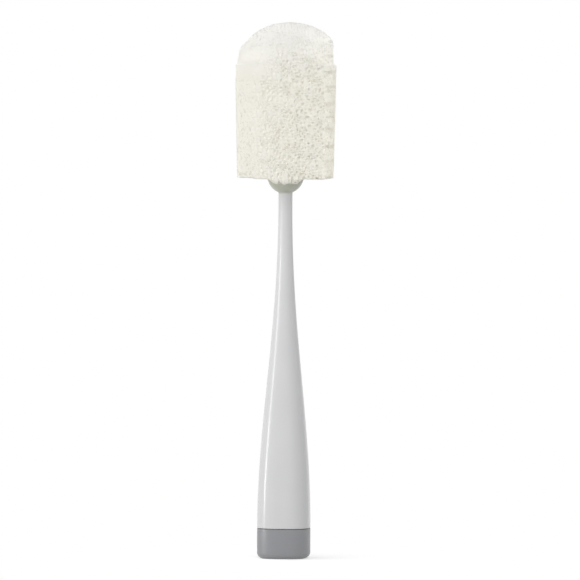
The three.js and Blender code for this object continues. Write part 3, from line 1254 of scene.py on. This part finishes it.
    def recess_distance(self, radius: np.ndarray, z: np.ndarray) -> np.ndarray:
        """Distance inside the recess that the bowl and the collar fill.

        Args:
            radius: Distances from the axis.
            z: Heights.

        Returns:
            Distances, negative in the foam.
        """
        below = np.minimum(z - self.rim, 0)
        wall = self.bowl + self.gap - np.hypot(radius, below)
        return np.minimum(wall, self.collar_top + self.gap - z)

    def distances(self, points: np.ndarray) -> np.ndarray:
        """Distances outside the sides, the top, the underside and the recess.

        Args:
            points: Points in the row frame.

        Returns:
            Four columns of distances, all negative inside the foam.
        """
        x, y, z = points.T
        z = z - self.lift(x, z)
        x = x - self.lean(z)
        radius, angle = np.hypot(x, y), np.arctan2(y, x)
        return np.stack(
            (
                self.side_distance(x, y, z),
                self.top_distance(x, y, z),
                self.floor_level(radius, angle) - z,
                self.recess_distance(radius, z),
            ),
            axis=1,
        )

    @staticmethod
    def blunt(first: np.ndarray, second: np.ndarray, edge: np.ndarray | float) -> np.ndarray:
        """Distance outside two faces that meet in an edge of a given radius, negative inside both."""
        past = np.hypot(np.maximum(first + edge, 0), np.maximum(second + edge, 0))
        return np.minimum(np.maximum(first, second), -edge) + past

    def outside(self, points: np.ndarray) -> tuple[np.ndarray, np.ndarray]:
        """Distances outside the foam's skin and inside its recess.

        Args:
            points: Points in the row frame.

        Returns:
            Both distances, negative in the foam.
        """
        side, top, under, recess = self.distances(points).T
        worn = smoothstep(*self.worn_span, -(points[:, 0] + points[:, 1]) / (2 * self.half))
        upper = self.blunt(side, top, self.edge + (self.worn_edge - self.edge) * worn)
        return self.blunt(upper, under, self.under_edge), recess

    def outer_radius(self, z: float, angles: np.ndarray, depth: float) -> np.ndarray:
        """Radius at which the foam is a given depth below its sides and top.

        Args:
            z: Height.
            angles: Angles round the axis.
            depth: Depth below the surface.

        Returns:
            One radius for each angle.
        """
        low, high = np.zeros_like(angles), np.full_like(angles, 2 * self.half)
        level = np.full_like(angles, z)
        for _ in range(self.HALVINGS):
            middle = (low + high) / 2
            x, y = middle * np.cos(angles), middle * np.sin(angles)
            out = np.maximum(self.side_distance(x, y, level), self.top_distance(x, y, level))
            low, high = np.where(out < -depth, middle, low), np.where(out < -depth, high, middle)
        return low


@dataclass
class FoamCells:
    """Space-filling fourteen-sided cells, turned away from the foam's faces and made uneven.

    Attributes:
        middle: Middle of the foam.
        reach: How far the foam reaches from there.
        pitch: Distance from cell to cell.
        tilt_axis: Axis that the cells are turned round.
        tilt_angle: Angle that they are turned by, in radians.
        jitter: Scatter of the cells' corners, as a share of a cell.
        waves: Number of smooth waves that make the cells uneven.
        wave_length: Shortest and longest wave, in cells.
        wave_push: Scatter of how far a wave moves the cells, as a share of a cell.
        seed: Seed of everything irregular.
    """

    middle: np.ndarray
    reach: float
    pitch: float = 2.3 * MM
    tilt_axis: Trio = (0.3, 1.0, 0.45)
    tilt_angle: float = 0.7
    jitter: float = 0.1
    waves: int = 8
    wave_length: Pair = (2, 6)
    wave_push: float = 0.1
    seed: int = 11

    @property
    def tilt(self) -> np.ndarray:
        """Matrix that turns the cells away from the faces."""
        return np.array(Quaternion(self.tilt_axis, self.tilt_angle).to_matrix())

    def lattice(self) -> tuple[np.ndarray, np.ndarray]:
        """Corners of the cells, and the struts between them.

        Returns:
            Points in the row frame, and pairs of point numbers.
        """
        step = self.pitch / 4
        count = round((self.reach + self.pitch) / step)
        axis = np.arange(-count, count + 1, dtype=np.int16)
        grid = np.stack(np.meshgrid(axis, axis, axis, indexing="ij"), axis=-1)
        # A corner has one odd coordinate, and two even ones that sum to 2 more than a multiple of 4.
        odd = (grid & 1).astype(bool)
        evens = np.where(odd, 0, grid).sum(axis=-1)
        corner = (odd.sum(axis=-1) == 1) & (evens % 4 == 2)
        number = np.full(corner.shape, -1, dtype=np.int32)
        number[corner] = np.arange(np.count_nonzero(corner))
        # A strut joins corners that lie one step apart along two axes.
        lower, upper, pairs = slice(0, -1), slice(1, None), []
        for first, second in ((0, 1), (0, 2), (1, 2)):
            for start, end in ((lower, upper), (upper, lower)):
                here, there = [slice(None)] * 3, [slice(None)] * 3
                here[first], there[first] = lower, upper
                here[second], there[second] = start, end
                a, b = number[tuple(here)], number[tuple(there)]
                both = (a >= 0) & (b >= 0)
                pairs.append(np.stack((a[both], b[both]), axis=1))
        points = grid[corner].astype(np.float64) * step @ self.tilt.T + self.middle
        jitter = np.random.default_rng(self.seed).normal(0, self.jitter * self.pitch, points.shape)
        return points + self.warp(points) + jitter, np.concatenate(pairs)

    def warp(self, points: np.ndarray) -> np.ndarray:
        """Smooth waves that make the cells uneven.

        Args:
            points: Points of the regular lattice.

        Returns:
            How far each of them moves.
        """
        chance = np.random.default_rng(self.seed)
        move = np.zeros_like(points)
        for _ in range(self.waves):
            wave = chance.normal(0, 1, 3)
            wave *= 2 * math.pi / (np.linalg.norm(wave) * chance.uniform(*self.wave_length) * self.pitch)
            push = chance.normal(0, self.wave_push * self.pitch, 3)
            move += np.sin(points @ wave + chance.uniform(0, 2 * math.pi))[:, None] * push
        return move

    def wall_distance(self, points: np.ndarray) -> np.ndarray:
        """Distance to the nearest wall of the cell that each point lies in.

        Args:
            points: Points in the foam.

        Returns:
            Distances, 0 on a wall.
        """
        flat = (points - self.warp(points) - self.middle) @ self.tilt
        walls = []
        # Square walls lie half a pitch from a cell's middle, hexagons where |x| + |y| + |z| is 0.75 pitch.
        for shift in (0, self.pitch / 2):
            place = flat - shift
            place = np.abs(place - self.pitch * np.round(place / self.pitch))
            square = self.pitch / 2 - place.max(axis=1)
            hexagon = (0.75 * self.pitch - place.sum(axis=1)) / math.sqrt(3)
            walls.append(np.minimum(square, hexagon))
        return np.maximum(*walls)


@dataclass
class FoamWebs:
    """Webs of struts on the foam's cut faces.

    Attributes:
        shape: The foam's shape.
        cells: The foam's cells.
        depth: Depth of the webs.
        strut: Radius of a strut.
        strut_sides: Points round a strut.
        thickness: Thinnest and thickest strut, as shares of that radius.
        shortest: Length below which a cut strut is left out.
    """

    shape: FoamShape
    cells: FoamCells
    depth: float = 1.3 * MM
    strut: float = 0.12 * MM
    strut_sides: int = 3
    thickness: Pair = (0.75, 1.3)
    shortest: float = 0.1 * MM

    def cut_struts(self) -> tuple[np.ndarray, np.ndarray]:
        """Struts near the foam's surface, cut off where they pass through it.

        Returns:
            Points, and pairs of point numbers.
        """
        points, pairs = self.cells.lattice()
        skin, recess = self.shape.outside(points)
        outside = np.maximum(skin, recess)
        near = (skin > -self.depth) & (outside < self.cells.pitch)
        pairs = pairs[near[pairs].all(axis=1)]
        pairs = pairs[(outside[pairs] < 0).any(axis=1)]
        turned_round = outside[pairs[:, 0]] > outside[pairs[:, 1]]
        pairs[turned_round] = pairs[turned_round][:, ::-1]
        crossing = outside[pairs[:, 1]] > 0
        inner, outer = pairs[crossing].T
        share = outside[inner] / (outside[inner] - outside[outer])
        cut = points[inner] + share[:, None] * (points[outer] - points[inner])
        pairs[crossing, 1] = len(points) + np.arange(len(cut))
        points = np.concatenate((points, cut))
        length = np.linalg.norm(points[pairs[:, 1]] - points[pairs[:, 0]], axis=1)
        return points, pairs[length > self.shortest]

    def face_of(self, points: np.ndarray) -> np.ndarray:
        """Number of the cut face that each point lies nearest to.

        Args:
            points: Points in the foam.

        Returns:
            Values of Face.
        """
        nearest = self.shape.distances(points).argmax(axis=1)
        x, y = points[:, 0], points[:, 1]
        side = np.where(
            np.abs(x) > np.abs(y),
            np.where(x > 0, Face.RIGHT.value, Face.LEFT.value),
            np.where(y > 0, Face.BACK.value, Face.FRONT.value),
        )
        return np.choose(nearest, (side, Face.DOME.value, Face.UNDER.value, Face.UNDER.value))

    def map_ways(self, face: Face) -> dict[str, Trio]:
        """Corner and directions of the flat map of a face, scaled to its size.

        Args:
            face: The cut face.

        Returns:
            Inputs of the strut tree.
        """
        margin = 2 * self.cells.pitch
        across = 1 / (2 * self.shape.half + 2 * margin)
        up = 1 / (self.shape.apex - self.shape.lowest + 2 * margin)
        corner = (-0.5 / across, -0.5 / across, self.shape.lowest - margin)
        along_x, along_y, along_z = (across, 0.0, 0.0), (0.0, across, 0.0), (0.0, 0.0, up)
        if face in (Face.FRONT, Face.BACK):
            ways = along_x, along_z
        elif face in (Face.LEFT, Face.RIGHT):
            ways = along_y, along_z
        else:
            ways = along_x, along_y
        return {"Map corner": corner, "Map across": ways[0], "Map up": ways[1]}

    def build(self, material: bpy.types.Material) -> list[bpy.types.Object]:
        """Build the web of struts of each cut face.

        Args:
            material: The struts' material.

        Returns:
            The webs.
        """
        points, pairs = self.cut_struts()
        faces = self.face_of(points[pairs].mean(axis=1))
        tree = StrutTree()
        webs = []
        for face in Face:
            used, numbers = np.unique(pairs[faces == face.value], return_inverse=True)
            mesh = bpy.data.meshes.new("struts")
            mesh.vertices.add(len(used))
            mesh.vertices.foreach_set("co", points[used].astype(np.float32).ravel())
            mesh.edges.add(numbers.size // 2)
            mesh.edges.foreach_set("vertices", numbers.astype(np.int32).ravel())
            mesh.update()
            web = link(f"foam_{face.name.lower()}", mesh)
            inputs = {
                "Strut radius": self.strut,
                "Thinnest": self.thickness[0],
                "Thickest": self.thickness[1],
                "Strut sides": self.strut_sides,
                "Seed": self.cells.seed + face.value,
                "Material": material,
                **self.map_ways(face),
            }
            tree.run(web, inputs)
            webs.append(web)
        return webs


@dataclass
class FoamBody:
    """Body of the foam, with open cells pressed into its skin and a hole for the core.

    Attributes:
        shape: The foam's shape.
        cells: The foam's cells.
        core_tip: Height of the core's tip.
        barb: Radius of the core's barbs.
        rim_depth: Depth of the rims between the open cells.
        pit_depth: Depth of the cells below the rims.
        pit_span: Where a cell begins to sink and is deepest, as shares of a cell from its wall.
        hem_fade: Distance from the recess over which the cells come in.
        left_span: Where the cells begin to deepen from the left and are full, as shares of the half width.
        left_share: Share of their depth that the cells have at the left.
        dome_fade: Share of their depth that the cells lose on the dome.
        dome_rise: Rise over which they lose it, as shares of the shoulder.
        saw_depth: Depth of a saw mark.
        saw_pitch: Pitch of the fine and of the coarse saw marks, and length of the fine ones' sway.
        saw_sway: How far the fine ones sway, in radians.
        saw_span: Where the saw marks come in at the right face, as shares of the half width.
        sides: Points round the body.
        ring_step: Height between its rings.
        floor_rings: Rings on the underside.
        shelf_rings: Rings on the ledge.
        dome_rings: Rings up the dome.
    """

    SLOPE_STEP = 0.05 * MM
    LEDGE_STEP = 0.01 * MM

    shape: FoamShape
    cells: FoamCells
    core_tip: float
    barb: float = 6 * MM
    rim_depth: float = 0.25 * MM
    pit_depth: float = 1.1 * MM
    pit_span: Pair = (0.08, 0.32)
    hem_fade: float = 1.5 * MM
    left_span: Pair = (-0.85, 0.35)
    left_share: float = 0.05
    dome_fade: float = 0.7
    dome_rise: float = 2.8
    saw_depth: float = 0.35 * MM
    saw_pitch: Trio = (3.1 * MM, 7.3 * MM, 13 * MM)
    saw_sway: float = 1.4
    saw_span: Pair = (0.93, 0.99)
    sides: int = 620
    ring_step: float = 0.32 * MM
    floor_rings: int = 34
    shelf_rings: int = 15
    dome_rings: int = 90

    def radii_at(self, levels: np.ndarray) -> np.ndarray:
        """Radii of rings that lie just below the sides and the top at given heights."""
        angles = even_angles(self.sides)
        return np.array([self.shape.outer_radius(z, angles, self.rim_depth) for z in levels])

    def skin_rings(self) -> tuple[np.ndarray, np.ndarray]:
        """Rings that follow the foam's skin from the bowl to the apex, just below it.

        Returns:
            Radii and heights, by ring and by side.
        """
        shape, depth, step = self.shape, self.rim_depth, self.ring_step
        angles, ring = even_angles(self.sides), np.ones((1, self.sides))
        flat, spring, high = shape.ledge - depth, shape.ledge + shape.shoulder, shape.apex - depth
        foot = self.radii_at([shape.underside])
        floor = shape.bowl + np.linspace(0, 1, self.floor_rings)[:, None] * (foot - shape.bowl)
        sag = np.array([shape.floor_level(radii, angles) for radii in floor]) + depth
        wall = np.arange(shape.underside + depth + step, flat - step / 2, step)
        outer, inner = self.radii_at([flat - self.LEDGE_STEP, flat + self.LEDGE_STEP])
        shelf = outer + np.linspace(0, 1, self.shelf_rings)[:, None] * (inner - outer)
        curve = np.sin(np.linspace(0, math.pi / 2, self.dome_rings)[1:-1])
        upper = np.concatenate((np.arange(flat + step, spring, step), spring + (high - spring) * curve))
        radii = (floor, self.radii_at(wall), shelf, self.radii_at(upper), 0 * ring)
        heights = (sag, wall[:, None] * ring, flat + 0 * shelf, upper[:, None] * ring, high * ring)
        return np.concatenate(radii), np.concatenate(heights)

    def openness(self, points: np.ndarray) -> np.ndarray:
        """Share of their depth that the cells have, less on the smooth left and on the dome.

        Args:
            points: Points on the foam's skin.

        Returns:
            Shares from 0 to 1.
        """
        low, high = (share * self.shape.half for share in self.left_span)
        right = smoothstep(low, high, points[:, 0])
        ledge = self.shape.ledge
        dome = smoothstep(ledge, ledge + self.dome_rise * self.shape.shoulder, points[:, 2])
        return (self.left_share + (1 - self.left_share) * right) * (1 - self.dome_fade * dome)

    def saw_marks(self, points: np.ndarray) -> np.ndarray:
        """Depth of the uneven marks that the saw left across the right face.

        Args:
            points: Points on the foam's skin.

        Returns:
            Depths.
        """
        turn = 2 * math.pi * points[:, 2]
        fine, coarse, sway = self.saw_pitch
        wave = np.sin(turn / fine + self.saw_sway * np.sin(turn / sway)) + np.sin(turn / coarse)
        low, high = (share * self.shape.half for share in self.saw_span)
        return self.saw_depth * np.clip(wave, 0, 2) * smoothstep(low, high, points[:, 0])

    def dimpled(self, points: np.ndarray) -> np.ndarray:
        """Press the open cells into points on the foam's skin.

        Args:
            points: Points just below the skin.

        Returns:
            The moved points.
        """
        skin, recess = self.shape.outside(points)
        steps = self.SLOPE_STEP * np.eye(3)
        slope = np.stack([self.shape.outside(points + step)[0] - skin for step in steps], axis=1)
        slope /= np.maximum(np.linalg.norm(slope, axis=1, keepdims=True), TINY)
        from_wall = self.cells.wall_distance(points) / self.cells.pitch
        deep = self.pit_depth * smoothstep(*self.pit_span, from_wall)
        deep *= smoothstep(0, self.hem_fade, -recess) * self.openness(points)
        return points - (deep + self.saw_marks(points))[:, None] * slope

    def build(self) -> bpy.types.Object:
        """Build the body.

        Returns:
            The body.
        """
        shape = self.shape
        reach, hole = shape.bowl + shape.gap, self.barb + shape.gap
        ceiling, hole_top = shape.collar_top + shape.gap, self.core_tip + shape.gap
        radii, heights = self.skin_rings()
        skin = ring_points(heights, radii)
        skin[..., 0] += shape.lean(skin[..., 2])
        skin[..., 2] += shape.lift(skin[..., 0], skin[..., 2])
        skin = self.dimpled(skin.reshape(-1, 3)).reshape(skin.shape)
        ring = np.ones((1, self.sides))
        inside = ((hole_top, 0), (hole_top, hole), (ceiling, hole), (ceiling, reach), (shape.rim, reach))
        hem = np.sqrt(reach**2 - (shape.rim - heights[:1]) ** 2)
        lining = ring_points(
            np.concatenate([*(ring * z for z, _ in inside), heights[:1]]),
            np.concatenate([*(ring * r for _, r in inside), hem]),
        )
        return ring_mesh("foam_body", np.concatenate((lining, skin)), crisp=False)


@dataclass
class FoamHead:
    """Foam head: a body with open cells under webs of cut struts.

    Attributes:
        body: The body.
        webs: The webs of struts.
    """

    body: FoamBody
    webs: FoamWebs

    def build(self, effects: SurfaceEffects) -> None:
        """Build the foam and dress it.

        Args:
            effects: The shared effects.
        """
        body = self.body.build()
        settle(body, Body.HEAD, Slot.FOAM, FOAM_DEPTH.material(effects), "sponge")
        strut = FOAM_STRUT.material(effects)
        webs = self.webs.build(strut)
        for web in webs:
            settle(web, Body.HEAD, Slot.FOAM, strut)
        for piece in (body, *webs):
            bpy.data.collections[FOAM_ONLY].objects.link(piece)


@dataclass(frozen=True)
class Softbox:
    """A soft lamp on a stand.

    Attributes:
        name: The lamp's name.
        azimuth: Degrees round the brush, 0 in front and positive to the right.
        height: Height of its middle, in metres.
        distance: Distance from the brush's axis, in metres.
        width: Width, in metres.
        tall: Height of its face, in metres.
        power: Watts.
        aim: Height that it faces, in metres.
        grid: Degrees that its beam spreads.
        only: Name of the collection that it lights, or none for everything.
    """

    name: str
    azimuth: float
    height: float
    distance: float
    width: float
    tall: float
    power: float
    aim: float
    grid: float = 180
    only: str = ""

    def build(self) -> None:
        """Set the lamp up."""
        lamp = bpy.data.lights.new(self.name, "AREA")
        lamp.shape, lamp.size, lamp.size_y = "RECTANGLE", self.width, self.tall
        lamp.energy, lamp.spread = self.power, math.radians(self.grid)
        stand = bpy.data.objects.new(self.name, lamp)
        turn = math.radians(self.azimuth)
        stand.location = (self.distance * math.sin(turn), -self.distance * math.cos(turn), self.height)
        facing = Vector((0, 0, self.aim)) - stand.location
        stand.rotation_euler = facing.to_track_quat("-Z", "Y").to_euler()
        stand.visible_camera = False
        if self.only:
            stand.light_linking.receiver_collection = bpy.data.collections[self.only]
        bpy.context.scene.collection.objects.link(stand)


@dataclass(frozen=True)
class Studio:
    """White studio with a pale floor, soft lamps and a long lens.

    Attributes:
        lamps: The soft lamps.
        sky: Strength of the light from all round, on the bright side and on the far side.
        sky_azimuth: Degrees from the front to the bright side, positive to the right.
        zenith: Share of that strength straight above.
        azimuth: Degrees that the camera stands to the right of the front.
        elevation: Degrees that it stands above the middle of the picture.
        distance: Distance of the camera, in metres.
        frame_width: Width of the picture at the brush, in metres.
        aim_right: How far right of the axis the picture's middle lies, in metres.
        aim_height: Height of the picture's middle, in metres.
        roll: Degrees that the camera leans.
        floor_radius: Radius of the floor, in metres.
        floor_sides: Sides of the floor.
        floor_sink: How far the floor lies below the boot, in metres.
        floor_grey: Grey of the floor that the camera sees, and of the floor that lights the brush.
        floor_glow: Light that the seen floor has of its own near the brush.
        shadow_reach: Radii, in metres, between which the brush's shadow fades.
    """

    WHITE = (1, 1, 1, 1)

    lamps: tuple[Softbox, ...]
    sky: Pair = (1.87, 0.28)
    sky_azimuth: float = -34
    zenith: float = 0.38
    azimuth: float = 6.3
    elevation: float = 1.8
    distance: float = 4.0
    frame_width: float = 290 * MM
    aim_right: float = 2.5 * MM
    aim_height: float = 134.2 * MM
    roll: float = 0.3
    floor_radius: float = 1.2
    floor_sides: int = 64
    floor_sink: float = 0.02 * MM
    floor_grey: Pair = (0.86, 0.75)
    floor_glow: float = 0.5
    shadow_reach: Pair = (38.5 * MM, 110 * MM)

    @staticmethod
    def seen(bench: NodeBench) -> bpy.types.NodeSocket:
        """Share of rays that look at the background: from the camera, or by way of gloss or glass.

        Args:
            bench: The bench on the floor's or the world's tree.

        Returns:
            1 for such rays, else 0.
        """
        path = bench.add("ShaderNodeLightPath").outputs
        total = path["Is Camera Ray"]
        for way in ("Is Glossy Ray", "Is Transmission Ray"):
            larger = bench.add("ShaderNodeMath", {0: total, 1: path[way]}, operation="MAXIMUM")
            total = larger.outputs["Value"]
        return total

    def build_world(self) -> None:
        """White surroundings that light the brush softly."""
        world = bpy.data.worlds.new("studio")
        bpy.context.scene.world = world
        bench = NodeBench.blank(world)
        way = bench.add("ShaderNodeTexCoord").outputs["Generated"]
        turn = math.radians(self.sky_azimuth)
        bright = (math.sin(turn), -math.cos(turn), 0)
        facing = bench.add("ShaderNodeVectorMath", {0: way, 1: bright}, operation="DOT_PRODUCT")
        spread = {"From Min": -1.0, "To Min": self.sky[1], "To Max": self.sky[0]}
        around = bench.add("ShaderNodeMapRange", {"Value": facing.outputs["Value"], **spread})
        rise = bench.add("ShaderNodeSeparateXYZ", {"Vector": way}).outputs["Z"]
        fall = bench.add("ShaderNodeMapRange", {"Value": rise, "To Min": 1.0, "To Max": self.zenith})
        both = {0: around.outputs["Result"], 1: fall.outputs["Result"]}
        sky = bench.add("ShaderNodeMath", both, operation="MULTIPLY").outputs["Value"]
        light, white = (
            bench.add("ShaderNodeBackground", {"Color": self.WHITE, "Strength": strength}).outputs[0]
            for strength in (sky, 1.0)
        )
        mix = bench.add("ShaderNodeMixShader", {0: self.seen(bench), 1: light, 2: white})
        bench.add("ShaderNodeOutputWorld", {"Surface": mix.outputs["Shader"]})

    def build_floor(self) -> None:
        """Pale floor that keeps the shadow near the brush and fades to white."""
        mesh = bpy.data.meshes.new("floor")
        shape = bmesh.new()
        bmesh.ops.create_circle(shape, cap_ends=True, segments=self.floor_sides, radius=self.floor_radius)
        shape.to_mesh(mesh)
        shape.free()
        floor = link("floor", mesh)
        floor.location.z = -self.floor_sink
        material = bpy.data.materials.new("pale_floor")
        bench = NodeBench.blank(material)
        place = bench.add("ShaderNodeTexCoord").outputs["Object"]
        away = bench.add("ShaderNodeVectorMath", {0: place}, operation="LENGTH").outputs["Value"]
        start, end = self.shadow_reach
        span = {"Value": away, "From Min": start, "From Max": end}
        fade = bench.add("ShaderNodeMapRange", span, interpolation_type="SMOOTHSTEP").outputs["Result"]
        white, glow = (
            bench.add("ShaderNodeEmission", {"Color": self.WHITE, "Strength": strength}).outputs[0]
            for strength in (1.0, self.floor_glow)
        )
        matt, dull = (
            bench.add("ShaderNodeBsdfDiffuse", {"Color": (grey, grey, grey, 1)}).outputs[0]
            for grey in self.floor_grey
        )
        near = bench.add("ShaderNodeAddShader", {0: matt, 1: glow}).outputs[0]
        shown = bench.add("ShaderNodeMixShader", {0: fade, 1: near, 2: white}).outputs[0]
        whole = bench.add("ShaderNodeMixShader", {0: self.seen(bench), 1: dull, 2: shown}).outputs[0]
        bench.add("ShaderNodeOutputMaterial", {"Surface": whole})
        mesh.materials.append(material)

    def build_camera(self) -> None:
        """Long lens at the photograph's angle."""
        lens = bpy.data.cameras.new("camera")
        lens.lens = lens.sensor_width * self.distance / self.frame_width
        lens.clip_end = 4 * self.distance
        camera = bpy.data.objects.new("camera", lens)
        turn, lift = math.radians(self.azimuth), math.radians(self.elevation)
        back = Vector((math.sin(turn) * math.cos(lift), -math.cos(turn) * math.cos(lift), math.sin(lift)))
        right = Vector((math.cos(turn), math.sin(turn), 0))
        camera.location = right * self.aim_right + Vector((0, 0, self.aim_height)) + back * self.distance
        lean = Quaternion((0, 0, 1), math.radians(self.roll))
        camera.rotation_mode = "QUATERNION"
        camera.rotation_quaternion = (-back).to_track_quat("-Z", "Y") @ lean
        bpy.context.scene.collection.objects.link(camera)
        bpy.context.scene.camera = camera

    def build(self) -> None:
        """Set the studio up."""
        bpy.context.scene.view_settings.view_transform = "Standard"
        self.build_camera()
        self.build_world()
        self.build_floor()
        for lamp in self.lamps:
            lamp.build()


LAMPS = (
    Softbox("strip", -64, 0.1, 0.9, 0.14, 0.3, 0.02, 42 * MM, 14),
    Softbox("rim", 160, 1.1, 0.5, 0.3, 0.3, 4.2, 255 * MM, only=FOAM_ONLY),
    Softbox("bounce", 0, 0.02, 0.045, 0.1, 0.1, 0.04, 190 * MM, only=FOAM_ONLY),
    Softbox("fill", 92, 0.2, 0.8, 0.3, 0.3, 2.5, 215 * MM, only=FOAM_ONLY),
)


def main() -> None:
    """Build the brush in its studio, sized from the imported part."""
    logging.basicConfig(level=logging.INFO)
    bpy.data.collections.new(FOAM_ONLY)
    Studio(LAMPS).build()
    effects = SurfaceEffects()
    boot_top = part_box("foot_boot")[1]
    shell_low, shell_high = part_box("handle_shell")
    core_low, core_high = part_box("sponge_core")
    foam_low, foam_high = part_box("sponge")
    Handle(boot_top.x, shell_low.z, shell_high.z).build(effects)
    Foot(boot_top.x, boot_top.z).build(effects)
    core = HeadCore(core_low.z, core_high.z, shell_high.z)
    core.build(effects)
    shape = FoamShape(foam_low.z, foam_high.z, shell_high.z, core.collar_top)
    cells = FoamCells(shape.middle, shape.reach)
    FoamHead(FoamBody(shape, cells, core_high.z), FoamWebs(shape, cells)).build(effects)


if __name__ == "__main__":
    main()
